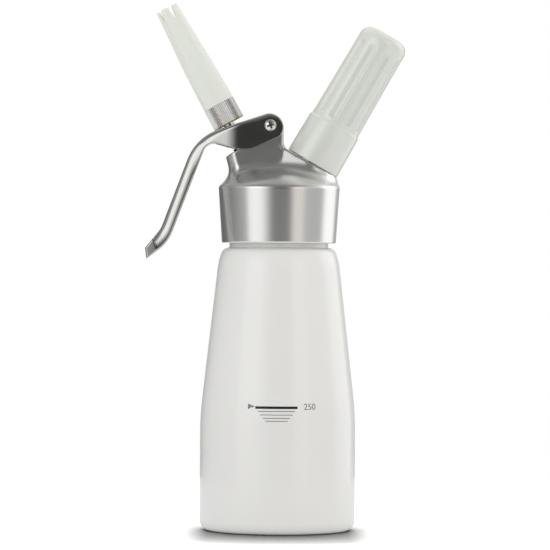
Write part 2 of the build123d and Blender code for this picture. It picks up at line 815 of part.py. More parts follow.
with BuildPart() as check_valve:
    valve_outline = tube_outline(
        pin_bore_radius, check_valve_radius - running_gap, check_valve_end, housing_end
    )
    turn(charger_section, charger_axis, valve_outline)
check_valve.part.label = "check_valve"
export_step(check_valve.part, "parts/check_valve.step")

with BuildPart() as gas_charger:
    neck_end = charger_nose + charger_neck_length
    body_start = neck_end + charger_shoulder
    body_end = charger_end - charger_radius
    inner_radius = charger_radius - charger_wall
    with BuildSketch(charger_section):
        with BuildLine():
            outer = Polyline(
                (charger_hole_radius, charger_nose),
                (charger_neck_radius, charger_nose),
                (charger_neck_radius, neck_end),
                (charger_radius, body_start),
                (charger_radius, body_end),
            )
            ThreePointArc(
                outer @ 1,
                (charger_radius * sin(pi / 4), body_end + charger_radius * cos(pi / 4)),
                (0, charger_end),
            )
            inside = Polyline(
                (charger_hole_radius, charger_nose),
                (charger_hole_radius, neck_end),
                (inner_radius, body_start),
                (inner_radius, body_end),
            )
            ThreePointArc(
                inside @ 1,
                (inner_radius * sin(pi / 4), body_end + inner_radius * cos(pi / 4)),
                (0, charger_end - charger_wall),
            )
            Line((0, charger_end - charger_wall), (0, charger_end))
        make_face()
    revolve(axis=charger_axis)
gas_charger.part.label = "gas_charger"
export_step(gas_charger.part, "parts/gas_charger.step")

with BuildPart() as charger_holder:
    skirt_end = holder_foot + holder_skirt_length
    with BuildSketch(charger_section):
        with BuildLine():
            Polyline(
                (holder_bore_radius, holder_foot),
                (holder_foot_radius, holder_foot),
                (holder_skirt_radius, skirt_end),
                (holder_grip_radius, skirt_end + holder_step),
                (holder_end_radius, holder_end),
                (0, holder_end),
                (0, charger_end + face_gap),
                (charger_bore_radius, charger_end + face_gap),
                (charger_bore_radius, holder_bore_end),
                (holder_bore_radius, holder_bore_end),
                close=True,
            )
        make_face()
    revolve(axis=charger_axis)
    end_rim = charger_holder.edges().filter_by(GeomType.CIRCLE).sort_by(charger_axis)[-1]
    fillet(end_rim, holder_end_fillet)
    grip_slope = holder_grip_draft / (holder_end - skirt_end - holder_step)
    for groove in range(groove_count):
        angle = radians(groove_turn - 90) + 2 * pi * groove / groove_count
        outwards = charger_side * cos(angle) + Vector(0, 1, 0) * sin(angle)
        ends = []
        for level in (groove_start, groove_end):
            grip = holder_grip_radius - grip_slope * (level - skirt_end - holder_step)
            reach_out = grip + groove_radius - groove_depth
            ends.append(seat_centre + charger_out * level + outwards * reach_out)
        with BuildSketch(Plane(origin=ends[0], z_dir=ends[1] - ends[0])):
            Circle(groove_radius)
        extrude(amount=(ends[1] - ends[0]).length, mode=Mode.SUBTRACT)
        with Locations(ends[0], ends[1]):
            Sphere(groove_radius, mode=Mode.SUBTRACT)
charger_holder.part.label = "charger_holder"
export_step(charger_holder.part, "parts/charger_holder.step")
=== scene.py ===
"""Looks of the quarter-litre cream whipper: bottle, head, lever, nozzle and charger holder.

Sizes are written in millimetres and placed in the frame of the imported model, which is in metres.
The camera stands on -Y. The nozzle leans to -X and the charger holder to +X.
"""

from __future__ import annotations

import json
import logging
from collections.abc import Callable, Sequence
from dataclasses import dataclass, field
from enum import Enum
from math import acos, atan2, cos, degrees, hypot, pi, radians, sin, sqrt, tan

import bmesh
import bpy
import numpy as np
from mathutils import Matrix, Vector

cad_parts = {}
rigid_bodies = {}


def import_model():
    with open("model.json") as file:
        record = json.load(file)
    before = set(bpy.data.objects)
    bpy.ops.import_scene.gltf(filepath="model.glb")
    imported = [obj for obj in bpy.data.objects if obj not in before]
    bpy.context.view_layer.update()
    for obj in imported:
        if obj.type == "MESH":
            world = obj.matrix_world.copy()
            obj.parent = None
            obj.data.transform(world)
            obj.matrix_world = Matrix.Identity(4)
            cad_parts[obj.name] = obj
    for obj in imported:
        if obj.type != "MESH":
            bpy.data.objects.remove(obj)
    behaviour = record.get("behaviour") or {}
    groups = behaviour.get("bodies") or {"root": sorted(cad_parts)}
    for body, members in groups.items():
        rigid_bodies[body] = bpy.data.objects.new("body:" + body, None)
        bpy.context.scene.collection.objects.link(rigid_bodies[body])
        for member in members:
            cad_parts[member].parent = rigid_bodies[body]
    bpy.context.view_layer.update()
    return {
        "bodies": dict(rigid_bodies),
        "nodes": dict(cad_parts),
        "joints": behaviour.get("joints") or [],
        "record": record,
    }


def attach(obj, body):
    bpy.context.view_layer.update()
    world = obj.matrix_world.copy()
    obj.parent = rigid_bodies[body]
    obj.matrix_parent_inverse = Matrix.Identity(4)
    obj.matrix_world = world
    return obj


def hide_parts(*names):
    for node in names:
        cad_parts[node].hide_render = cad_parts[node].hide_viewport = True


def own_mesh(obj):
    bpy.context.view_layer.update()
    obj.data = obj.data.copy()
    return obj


LOG = logging.getLogger("cream_whipper")
MM = 0.001
# The two gaps are in millimetres, SHARP is in degrees and STRAIGHT in radians.
MERGE_GAP = 1e-5
CUT_GAP = 1e-4
SHARP = 35.0
STRAIGHT = radians(1)
WIRE_SIDES = 16

Colour = tuple[float, float, float]
Point = tuple[float, float]
Size = tuple[float, float, float]
Socket = bpy.types.NodeSocket
Move = Callable[[Vector], Vector]
Values = np.ndarray


def mix(first: float, second: float, share: Values | float) -> Values | float:
    """Value at a share of the way from one to another."""
    return first + (second - first) * share


def blend(start: float, end: float, value: float) -> float:
    """Smooth step of a value between two limits.

    Args:
        start: Value at which the step begins.
        end: Value at which the step is complete.
        value: Value to look up.

    Returns:
        A share from 0 to 1.
    """
    share = min(max((value - start) / (end - start), 0.0), 1.0)
    return share * share * (3 - 2 * share)


def soft_ramp(value: float, width: float) -> float:
    """Zero below nought and the value itself above, with a rounded corner.

    Args:
        value: Distance past the corner.
        width: Half the length of the rounding.

    Returns:
        The ramp's height.
    """
    if value <= -width:
        return 0.0
    if value >= width:
        return value
    return (value + width) ** 2 / (4 * width)


def spread(start: float, end: float, steps: int) -> list[float]:
    """Evenly spaced values from one end to the other."""
    return [start + (end - start) * i / steps for i in range(steps + 1)]


def rounded(points: Sequence[Point], radii: Sequence[float], arc_step: float) -> list[Point]:
    """Outline through points whose corners are replaced by arcs.

    Args:
        points: Corners of the open outline, in order.
        radii: One radius for each corner between the two ends, 0 for a sharp one.
        arc_step: Degrees between the points of an arc.

    Returns:
        The outline's points.
    """
    outline = [points[0]]
    for before, corner, after, radius in zip(points, points[1:], points[2:], radii):
        here = Vector(corner)
        into = (here - Vector(before)).normalized()
        out = (Vector(after) - here).normalized()
        turn = acos(min(max(into.dot(out), -1.0), 1.0))
        if radius <= 0 or turn < STRAIGHT:
            outline.append(corner)
            continue
        middle = here + (out - into).normalized() * (radius / cos(turn / 2))
        start = here - into * (radius * tan(turn / 2)) - middle
        way = 1 if into.cross(out) > 0 else -1
        count = max(2, round(degrees(turn) / arc_step))
        for angle in spread(0.0, way * turn, count):
            x = middle.x + start.x * cos(angle) - start.y * sin(angle)
            y = middle.y + start.x * sin(angle) + start.y * cos(angle)
            outline.append((x, y))
    outline.append(points[-1])
    return outline


def circle_centre(first: Point, second: Point, third: Point) -> Vector:
    """Centre of the circle through three points.

    Args:
        first: One point on the circle.
        second: Another point.
        third: The last point, not in line with the others.

    Returns:
        The centre.
    """
    (ax, ay), (bx, by), (cx, cy) = first, second, third
    twice = 2 * (ax * (by - cy) + bx * (cy - ay) + cx * (ay - by))
    a, b, c = ax**2 + ay**2, bx**2 + by**2, cx**2 + cy**2
    x = (a * (by - cy) + b * (cy - ay) + c * (ay - by)) / twice
    y = (a * (cx - bx) + b * (ax - cx) + c * (bx - ax)) / twice
    return Vector((x, y))


class Track:
    """An open outline that is read by the length along it."""

    def __init__(self, points: Sequence[Point]) -> None:
        """Keep the points and the length up to each.

        Args:
            points: The outline's points.
        """
        self.points = [Vector(p) for p in points]
        self.lengths = [0.0]
        for a, b in zip(self.points, self.points[1:]):
            self.lengths.append(self.lengths[-1] + (b - a).length)

    @property
    def length(self) -> float:
        """Length of the whole outline."""
        return self.lengths[-1]

    def at(self, length: float) -> Vector:
        """Point at a length along the outline.

        Args:
            length: Distance from the outline's start.

        Returns:
            The point.
        """
        last = len(self.points) - 1
        i = next((k for k in range(1, last) if length <= self.lengths[k]), last)
        share = (length - self.lengths[i - 1]) / (self.lengths[i] - self.lengths[i - 1])
        return self.points[i - 1].lerp(self.points[i], share)

    def at_x(self, x: float) -> float:
        """Length at which the outline first passes an x on its way to the left.

        Args:
            x: Where it passes.

        Returns:
            The length there, or the whole length if it doesn't get so far.
        """
        for i, (a, b) in enumerate(zip(self.points, self.points[1:])):
            if a.x >= x >= b.x and a.x > b.x:
                return mix(self.lengths[i], self.lengths[i + 1], (a.x - x) / (a.x - b.x))
        return self.length

    def near(self, place: Point) -> float:
        """Length of the outline's point nearest to a place."""
        best = min(range(len(self.points)), key=lambda i: (self.points[i] - Vector(place)).length)
        return self.lengths[best]


@dataclass(frozen=True)
class AxisFrame:
    """A place on the object: an origin and the direction that a piece points in, both in the XZ plane."""

    origin: Vector
    along: Vector

    @classmethod
    def of_joint(cls, joints: Sequence[dict], name: str) -> AxisFrame:
        """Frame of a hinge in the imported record.

        Args:
            joints: The record's joints.
            name: The hinge's name.

        Returns:
            A frame at the hinge, pointing along its axis.
        """
        joint = next(j for j in joints if j["name"] == name)
        return cls(Vector(joint["pos_m"]), Vector(joint["axis"]).normalized())

    @property
    def side(self) -> Vector:
        """Direction across the axis, in the XZ plane."""
        return Vector((self.along.z, 0, -self.along.x))

    @property
    def matrix(self) -> Matrix:
        """Matrix from millimetres in this frame, +Z along the axis, to metres on the object."""
        columns = Matrix((self.side, Vector((0, 1, 0)), self.along)).transposed()
        return Matrix.Translation(self.origin) @ columns.to_4x4() @ Matrix.Scale(MM, 4)

    def plan(self, places: Values) -> tuple[Values, Values]:
        """Distances along the axis and across it in the XZ plane, for many points.

        Args:
            places: Points on the object, one to a row, in millimetres.

        Returns:
            Millimetres along the axis from the origin, and to its side.
        """
        offsets = places - np.array(self.origin / MM)
        return offsets @ np.array(self.along), offsets @ np.array(self.side)


class Shape:
    """A mesh under construction, drawn in millimetres."""

    def __init__(self) -> None:
        """Start with an empty mesh."""
        self.bm = bmesh.new()

    @classmethod
    def turned(cls, outline: Sequence[Point], steps: int) -> Shape:
        """Turn an outline about the Z axis.

        Args:
            outline: Points of (radius, height). An outline that doesn't end on the axis is a closed section.
            steps: Number of steps round the axis.

        Returns:
            The turned shape.
        """
        shape = cls()
        verts = [shape.bm.verts.new((radius, 0, height)) for radius, height in outline]
        for a, b in zip(verts, verts[1:]):
            shape.bm.edges.new((a, b))
        if outline[0][0] > 0 and outline[-1][0] > 0:
            shape.bm.edges.new((verts[-1], verts[0]))
        bmesh.ops.spin(
            shape.bm,
            geom=shape.whole(),
            cent=(0, 0, 0),
            axis=(0, 0, 1),
            angle=2 * pi,
            steps=steps,
            use_merge=True,
        )
        return shape.closed()

    @classmethod
    def coil(cls, radius: float, wire: float, rise: float, turns: int, steps: int) -> Shape:
        """Wind a round wire about the Z axis.

        Args:
            radius: Radius of the coil, to the middle of the wire.
            wire: Radius of the wire.
            rise: Height from the first end to the last.
            turns: Number of turns.
            steps: Steps in each turn.

        Returns:
            The coil, with capped ends.
        """
        shape = cls()
        upright = Matrix.Translation((radius, 0, 0)) @ Matrix.Rotation(pi / 2, 4, "X")
        bmesh.ops.create_circle(shape.bm, cap_ends=True, segments=WIRE_SIDES, radius=wire, matrix=upright)
        total = steps * turns
        bmesh.ops.spin(
            shape.bm,
            geom=shape.whole(),
            cent=(0, 0, 0),
            axis=(0, 0, 1),
            dvec=(0, 0, rise / total),
            angle=2 * pi * turns,
            steps=total,
        )
        return shape.closed()

    @classmethod
    def prism(cls, outline: Sequence[Point], half_depth: float) -> Shape:
        """Pull an outline in the XZ plane out to both sides.

        Args:
            outline: Points of (x, z), closed by its last edge.
            half_depth: Distance to each side.

        Returns:
            The prism.
        """
        shape = cls()
        shape.bm.faces.new([shape.bm.verts.new((x, -half_depth, z)) for x, z in outline])
        return shape.pulled((0, 2 * half_depth, 0))

    @classmethod
    def rod(cls, radius: float, low: float, high: float, sides: int, stretch: float = 0.0) -> Shape:
        """A round or slot-shaped rod along the Z axis.

        Args:
            radius: Radius of the ends.
            low: Height of the lower end.
            high: Height of the upper end.
            sides: Number of sides.
            stretch: Distance between the centres of a slot's two ends, along X.

        Returns:
            The rod.
        """
        shape = cls()
        bmesh.ops.create_cone(
            shape.bm,
            cap_ends=True,
            segments=sides,
            radius1=radius,
            radius2=radius,
            depth=high - low,
            matrix=Matrix.Translation((0, 0, (low + high) / 2)),
        )
        for vert in shape.bm.verts:
            vert.co.x += stretch / 2 if vert.co.x > 0 else -stretch / 2
        return shape

    @classmethod
    def box(cls, size: Size, centre: Size) -> Shape:
        """A plain box.

        Args:
            size: Its three lengths.
            centre: Its middle.

        Returns:
            The box.
        """
        shape = cls()
        matrix = Matrix.Translation(centre) @ Matrix.Diagonal((*size, 1.0))
        bmesh.ops.create_cube(shape.bm, size=1.0, matrix=matrix)
        return shape

    @classmethod
    def skinned(cls, rings: Sequence[Sequence[Vector]]) -> Shape:
        """Pull a first ring of points through all the others and cap the last.

        Args:
            rings: Rings with the same number of points, in order. The first may close on itself.

        Returns:
            The skinned shape.
        """
        shape = cls()
        verts = [shape.bm.verts.new(place) for place in rings[0]]
        edges = [shape.bm.edges.new(pair) for pair in zip(verts, verts[1:] + verts[:1])]
        for ring in rings[1:]:
            pulled = bmesh.ops.extrude_edge_only(shape.bm, edges=edges)["geom"]
            fresh = {g for g in pulled if isinstance(g, bmesh.types.BMVert)}
            verts = [next(w for e in v.link_edges if (w := e.other_vert(v)) in fresh) for v in verts]
            edges = [shape.bm.edges.get(pair) for pair in zip(verts, verts[1:] + verts[:1])]
            for vert, place in zip(verts, ring):
                vert.co = place
        shape.bm.faces.new(verts)
        return shape.closed()

    def whole(self) -> list[bmesh.types.BMVert | bmesh.types.BMEdge | bmesh.types.BMFace]:
        """All that the mesh is made of."""
        return self.bm.verts[:] + self.bm.edges[:] + self.bm.faces[:]

    def pulled(self, move: Size) -> Shape:
        """Give a flat drawing a thickness.

        Args:
            move: How far the far side lies from the drawing.

        Returns:
            The same shape, closed.
        """
        pulled = bmesh.ops.extrude_face_region(self.bm, geom=self.bm.faces[:])["geom"]
        far = [g for g in pulled if isinstance(g, bmesh.types.BMVert)]
        bmesh.ops.translate(self.bm, verts=far, vec=move)
        return self.closed()

    def added(self, other: Shape) -> Shape:
        """Take another shape into this one.

        Args:
            other: The other shape, which is used up.

        Returns:
            The same shape.
        """
        mesh = bpy.data.meshes.new("part")
        other.bm.to_mesh(mesh)
        other.bm.free()
        self.bm.from_mesh(mesh)
        bpy.data.meshes.remove(mesh)
        return self

    def closed(self) -> Shape:
        """Merge doubles and turn the faces outwards.

        Returns:
            The same shape.
        """
        bmesh.ops.remove_doubles(self.bm, verts=self.bm.verts[:], dist=MERGE_GAP)
        bmesh.ops.recalc_face_normals(self.bm, faces=self.bm.faces[:])
        return self

    def sliced(self, stations: Sequence[float]) -> Shape:
        """Cut new edges into the shape across the X axis.

        Args:
            stations: Places of the cuts.

        Returns:
            The same shape.
        """
        for x in stations:
            bmesh.ops.bisect_plane(
                self.bm, geom=self.whole(), dist=CUT_GAP, plane_co=(x, 0, 0), plane_no=(1, 0, 0)
            )
        return self

    def moved(self, move: Move) -> Shape:
        """Put each vertex where a rule sends it.

        Args:
            move: Gives a vertex's new place from its old one.

        Returns:
            The same shape.
        """
        for vert in self.bm.verts:
            vert.co = move(vert.co)
        return self

    def placed(self, matrix: Matrix) -> Shape:
        """Send the shape from millimetres to its place on the object."""
        bmesh.ops.transform(self.bm, matrix=matrix, verts=self.bm.verts[:])
        return self

    def as_object(self, name: str, sharp: float = SHARP) -> bpy.types.Object:
        """Finish the shape as an object at the origin.

        Args:
            name: Name of the piece.
            sharp: Degrees between two faces above which their edge stays sharp.

        Returns:
            The object, linked to the scene.
        """
        mesh = bpy.data.meshes.new(name)
        self.bm.to_mesh(mesh)
        self.bm.free()
        return link_mesh(mesh, name, sharp)


def link_mesh(mesh: bpy.types.Mesh, name: str, sharp: float) -> bpy.types.Object:
    """Link a mesh to the scene as an object with smooth faces.

    Args:
        mesh: The mesh, in its place.
        name: Name of the piece.
        sharp: Degrees between two faces above which their edge stays sharp.

    Returns:
        The object.
    """
    mesh.shade_smooth()
    mesh.set_sharp_from_angle(angle=radians(sharp))
    piece = bpy.data.objects.new(name, mesh)
    bpy.context.scene.collection.objects.link(piece)
    return piece


def mesh_of(piece: bpy.types.Object) -> bpy.types.Mesh:
    """Mesh of an object as its modifiers or its text leave it, which takes the object's place.

    Args:
        piece: The object, which is removed.

    Returns:
        The mesh.
    """
    bpy.context.view_layer.update()
    graph = bpy.context.evaluated_depsgraph_get()
    mesh = bpy.data.meshes.new_from_object(piece.evaluated_get(graph))
    bpy.data.objects.remove(piece)
    return mesh


def applied(piece: bpy.types.Object, sharp: float) -> bpy.types.Object:
    """Replace an object by one whose modifiers are part of its mesh.

    Args:
        piece: The object with modifiers, which is removed.
        sharp: Degrees between two faces above which their edge stays sharp.

    Returns:
        The new object, of the same name.
    """
    name = piece.name
    mesh = mesh_of(piece)
    mesh.name = name
    return link_mesh(mesh, name, sharp)


def joined(piece: bpy.types.Object, tool: Shape, operation: str, sharp: float = SHARP) -> bpy.types.Object:
    """Cut a tool shape out of a piece, or fuse it on.

    Args:
        piece: The piece, which is replaced.
        tool: The other shape, already in its place.
        operation: DIFFERENCE or UNION.
        sharp: Degrees between two faces above which their edge stays sharp.

    Returns:
        The new piece.
    """
    other = tool.as_object("tool")
    cut = piece.modifiers.new("cut", "BOOLEAN")
    cut.operation = operation
    cut.solver = "MANIFOLD"
    cut.object = other
    result = applied(piece, sharp)
    bpy.data.objects.remove(other)
    return result


class NodeSheet:
    """Short hand for wiring one node tree."""

    def __init__(self, tree: bpy.types.NodeTree) -> None:
        """Clear a tree and keep it."""
        self.tree = tree
        tree.nodes.clear()

    def add(self, kind: str, **settings: object) -> bpy.types.Node:
        """Add a node.

        Args:
            kind: The node's type name.
            settings: Properties to set on it.

        Returns:
            The node.
        """
        node = self.tree.nodes.new(kind)
        for key, value in settings.items():
            setattr(node, key, value)
        return node

    def feed(self, socket: Socket, value: Socket | float | Sequence[float]) -> None:
        """Link a socket to another, or set its value.

        Args:
            socket: The socket to feed.
            value: Another node's output, a number or a colour.
        """
        if isinstance(value, bpy.types.NodeSocket):
            self.tree.links.new(value, socket)
        else:
            socket.default_value = value

    def maths(self, operation: str, first: Socket | float, second: Socket | float = 0.0) -> Socket:
        """Result of a Math node.

        Args:
            operation: What the node works out.
            first: Its first value.
            second: Its second value, if it has one.

        Returns:
            The result.
        """
        node = self.add("ShaderNodeMath", operation=operation)
        self.feed(node.inputs[0], first)
        self.feed(node.inputs[1], second)
        return node.outputs[0]

    def vectors(self, operation: str, first: Socket, second: Sequence[float]) -> bpy.types.NodeOutputs:
        """Outputs of a Vector Math node.

        Args:
            operation: What the node works out.
            first: Its first vector.
            second: Its second vector.

        Returns:
            The node's outputs.
        """
        node = self.add("ShaderNodeVectorMath", operation=operation)
        self.feed(node.inputs[0], first)
        self.feed(node.inputs[1], second)
        return node.outputs

    def place(self) -> Socket:
        """Object coordinates of the surface."""
        return self.add("ShaderNodeTexCoord").outputs["Object"]

    def parts(self, vector: Socket) -> bpy.types.NodeOutputs:
        """The three parts of a vector.

        Args:
            vector: The vector to take apart.

        Returns:
            Outputs named X, Y and Z.
        """
        node = self.add("ShaderNodeSeparateXYZ")
        self.feed(node.inputs[0], vector)
        return node.outputs

    def distance_along(self, frame: AxisFrame) -> Socket:
        """Millimetres along an axis.

        Args:
            frame: The axis and the place that it starts from.

        Returns:
            The distance of each point of the surface.
        """
        offset = self.vectors("SUBTRACT", self.place(), frame.origin)[0]
        length = self.vectors("DOT_PRODUCT", offset, frame.along)["Value"]
        return self.maths("MULTIPLY", length, 1 / MM)

    def noise(self, size: float, detail: float = 2.0, place: Socket | None = None) -> Socket:
        """Cloudy noise over the surface.

        Args:
            size: Size of the clouds in millimetres.
            detail: Octaves of the noise.
            place: Coordinates in metres, the object's own by default.

        Returns:
            A value from 0 to 1.
        """
        node = self.add("ShaderNodeTexNoise")
        self.feed(node.inputs["Vector"], place or self.place())
        self.feed(node.inputs["Scale"], 1 / (size * MM))
        self.feed(node.inputs["Detail"], detail)
        return node.outputs["Fac"]

    def lines(self, along: Socket, pitch: float, detail: float = 3.0) -> Socket:
        """Noise that changes in one direction only, as turning marks do.

        Args:
            along: Millimetres across the lines.
            pitch: Width of a line in millimetres.
            detail: Octaves of the noise.

        Returns:
            A value from 0 to 1.
        """
        node = self.add("ShaderNodeTexNoise", noise_dimensions="1D")
        self.feed(node.inputs["W"], self.maths("DIVIDE", along, pitch))
        self.feed(node.inputs["Scale"], 1.0)
        self.feed(node.inputs["Detail"], detail)
        return node.outputs["Fac"]

    def between(self, value: Socket, low: float, high: float, limits: Point = (0.0, 1.0)) -> Socket:
        """Spread a value from one range onto another.

        Args:
            value: The value.
            low: Result at the first limit and before it.
            high: Result at the second limit and past it.
            limits: The value's range.

        Returns:
            The result.
        """
        node = self.add("ShaderNodeMapRange")
        for socket, number in zip(node.inputs[1:5], (*limits, low, high)):
            socket.default_value = number
        self.feed(node.inputs["Value"], value)
        return node.outputs[0]

    def mixed(self, share: Socket | float, first: Colour | Socket, second: Colour | Socket) -> Socket:
        """Mix of two colours.

        Args:
            share: How much of the second colour there is.
            first: One colour.
            second: The other colour.

        Returns:
            The mix.
        """
        node = self.add("ShaderNodeMix", data_type="RGBA")
        self.feed(node.inputs["Factor"], share)
        for socket, colour in ((node.inputs[6], first), (node.inputs[7], second)):
            self.feed(socket, colour if isinstance(colour, bpy.types.NodeSocket) else (*colour, 1.0))
        return node.outputs[2]

    def toned(self, pattern: Socket, colour: Colour, tones: Point) -> Socket:
        """A colour that a pattern takes from one tone to another."""
        low, high = tones
        return self.mixed(pattern, shade(colour, low), shade(colour, high))

    def bump(self, height: Socket, strength: float, depth: float) -> Socket:
        """Surface normal raised by a height.

        Args:
            height: Height from 0 to 1.
            strength: Strength of the effect.
            depth: Height of 1 in millimetres.

        Returns:
            The normal.
        """
        node = self.add("ShaderNodeBump")
        self.feed(node.inputs["Strength"], strength)
        self.feed(node.inputs["Distance"], depth * MM)
        self.feed(node.inputs["Height"], height)
        return node.outputs[0]


class Surface(NodeSheet):
    """A new material with one Principled shader."""

    def __init__(self, name: str) -> None:
        """Make the material.

        Args:
            name: Its name.
        """
        self.material = bpy.data.materials.new(name)
        self.material.use_nodes = True
        super().__init__(self.material.node_tree)
        self.shader = self.add("ShaderNodeBsdfPrincipled")
        output = self.add("ShaderNodeOutputMaterial")
        self.feed(output.inputs[0], self.shader.outputs[0])

    def finished(self, **sockets: Socket | float | Sequence[float]) -> bpy.types.Material:
        """Set the shader's sockets, named with underscores for spaces.

        Args:
            sockets: A value or a link for each socket.

        Returns:
            The material.
        """
        for key, value in sockets.items():
            name = key.replace("_", " ").title().replace("Ior", "IOR")
            self.feed(self.shader.inputs[name], value)
        return self.material


def shade(colour: Colour, share: float) -> Colour:
    """A colour made darker or lighter by a share."""
    return tuple(min(c * share, 1.0) for c in colour)


class Grain(Enum):
    """How a metal surface was worked."""

    TURNED = "turned"
    POLISHED = "polished"
    DRAWN = "drawn"


@dataclass(frozen=True)
class Lacquer:
    """Gloss lacquer over metal, with a faint orange peel."""

    name: str
    colour: Colour
    tones: Point = (0.985, 1.015)
    cloud_size: float = 40.0
    peel_size: float = 2.2
    peel_strength: float = 0.05
    peel_depth: float = 0.05
    roughness: Point = (0.2, 0.27)
    coat: float = 0.35
    coat_roughness: float = 0.05

    def make(self) -> bpy.types.Material:
        """Build the material.

        Returns:
            The material.
        """
        surface = Surface(self.name)
        cloud = surface.noise(self.cloud_size, detail=1.0)
        peel = surface.noise(self.peel_size, detail=1.5)
        return surface.finished(
            base_color=surface.toned(cloud, self.colour, self.tones),
            roughness=surface.between(peel, *self.roughness),
            coat_weight=self.coat,
            coat_roughness=self.coat_roughness,
            normal=surface.bump(peel, self.peel_strength, self.peel_depth),
        )


@dataclass(frozen=True)
class Metal:
    """Bare or plated metal with the marks of its making."""

    name: str
    colour: Colour
    roughness: float
    grain: Grain
    frame: AxisFrame
    pitch: float = 0.35
    strength: float = 0.25
    spread: float = 0.06
    depth: float = 0.02
    tones: Point = (0.95, 1.03)
    cloud_size: float = 14.0
    polish_pitches: float = 8.0
    drawn_out: float = 40.0
    detail: float = 3.0

    def height(self, surface: Surface) -> Socket:
        """Height of the marks over the surface.

        Args:
            surface: The material that they are drawn in.

        Returns:
            A value from 0 to 1.
        """
        if self.grain is Grain.TURNED:
            return surface.lines(surface.distance_along(self.frame), self.pitch)
        if self.grain is Grain.POLISHED:
            return surface.noise(self.pitch * self.polish_pitches, self.detail)
        stretched = surface.add("ShaderNodeMapping", vector_type="TEXTURE")
        surface.feed(stretched.inputs["Vector"], surface.place())
        turn = self.frame.matrix.to_3x3().normalized().to_euler()
        surface.feed(stretched.inputs["Rotation"], turn)
        surface.feed(stretched.inputs["Scale"], (1.0, 1.0, self.drawn_out))
        return surface.noise(self.pitch, self.detail, stretched.outputs[0])

    def make(self) -> bpy.types.Material:
        """Build the material.

        Returns:
            The material.
        """
        surface = Surface(self.name)
        marks = self.height(surface)
        cloud = surface.noise(self.cloud_size)
        return surface.finished(
            base_color=surface.toned(cloud, self.colour, self.tones),
            metallic=1.0,
            roughness=surface.between(marks, self.roughness - self.spread, self.roughness + self.spread),
            normal=surface.bump(marks, self.strength, self.depth),
        )


@dataclass(frozen=True)
class CastAluminium:
    """One casting: fine turning lines on the skirt, hand polish above a level."""

    name: str
    colour: Colour
    level: float
    frame: AxisFrame
    level_soft: float = 0.15
    turned_roughness: Point = (0.22, 0.28)
    polished_roughness: Point = (0.27, 0.32)
    line_pitch: float = 0.3
    line_strength: float = 0.10
    line_depth: float = 0.02
    polish_size: float = 3.0
    cloud_size: float = 9.0
    tones: Point = (0.98, 1.01)

    def make(self) -> bpy.types.Material:
        """Build the material.

        Returns:
            The material.
        """
        surface = Surface(self.name)
        height = surface.distance_along(self.frame)
        limits = (self.level - self.level_soft, self.level + self.level_soft)
        skirt = surface.between(height, 1.0, 0.0, limits)
        lines = surface.lines(height, self.line_pitch)
        polish = surface.noise(self.polish_size, detail=4.0)
        rough = surface.add("ShaderNodeMix", data_type="FLOAT")
        surface.feed(rough.inputs["Factor"], skirt)
        surface.feed(rough.inputs[2], surface.between(polish, *self.polished_roughness))
        surface.feed(rough.inputs[3], surface.between(lines, *self.turned_roughness))
        marks = surface.maths("MULTIPLY", lines, skirt)
        cloud = surface.noise(self.cloud_size, detail=3.0)
        return surface.finished(
            base_color=surface.toned(cloud, self.colour, self.tones),
            metallic=1.0,
            roughness=rough.outputs[0],
            normal=surface.bump(marks, self.line_strength, self.line_depth),
        )


@dataclass(frozen=True)
class PlatedRing:
    """Nickel plate that turns a darker brown on the underside, below a level."""

    name: str
    plate: Colour
    # Colour below the level, on the underside: darker and browner than the plate.
    brass: Colour
    frame: AxisFrame
    limits: Point = (0.2, 0.6)
    wear_size: float = 1.2
    wear_strength: float = 0.08
    wear_depth: float = 0.02
    roughness: Point = (0.3, 0.44)

    def make(self) -> bpy.types.Material:
        """Build the material.

        Returns:
            The material.
        """
        surface = Surface(self.name)
        plated = surface.between(surface.distance_along(self.frame), 0.0, 1.0, self.limits)
        wear = surface.noise(self.wear_size, detail=3.0)
        return surface.finished(
            base_color=surface.mixed(plated, self.brass, self.plate),
            metallic=1.0,
            roughness=surface.between(wear, *self.roughness),
            normal=surface.bump(wear, self.wear_strength, self.wear_depth),
        )


@dataclass(frozen=True)
class Moulded:
    """Moulded plastic, pale and slightly translucent or dark and dense."""

    name: str
    colour: Colour
    roughness: float
    translucency: float = 0.0
    shine: float = 0.5
    spread: float = 0.05
    light_reach: Colour = (2.0, 2.0, 1.6)
    tones: Point = (0.98, 1.02)
    cloud_size: float = 12.0
    skin_size: float = 0.5
    skin_strength: float = 0.04
    skin_depth: float = 0.02

    def make(self) -> bpy.types.Material:
        """Build the material.

        Returns:
            The material.
        """
        surface = Surface(self.name)
        cloud = surface.noise(self.cloud_size)
        skin = surface.noise(self.skin_size)
        return surface.finished(
            base_color=surface.toned(cloud, self.colour, self.tones),
            roughness=surface.between(skin, self.roughness - self.spread, self.roughness + self.spread),
            specular_ior_level=self.shine,
            subsurface_weight=self.translucency,
            subsurface_radius=self.light_reach,
            subsurface_scale=MM,
            normal=surface.bump(skin, self.skin_strength, self.skin_depth),
        )


@dataclass(frozen=True)
class Rubber:
    """Moulded rubber with a dry skin."""

    name: str
    colour: Colour
    tones: Point = (0.85, 1.15)
    roughness: Point = (0.55, 0.75)
    skin_size: float = 0.8
    skin_strength: float = 0.15
    skin_depth: float = 0.03

    def make(self) -> bpy.types.Material:
        """Build the material.

        Returns:
            The material.
        """
        surface = Surface(self.name)
        skin = surface.noise(self.skin_size, detail=4.0)
        return surface.finished(
            base_color=surface.toned(skin, self.colour, self.tones),
            roughness=surface.between(skin, *self.roughness),
            normal=surface.bump(skin, self.skin_strength, self.skin_depth),
        )


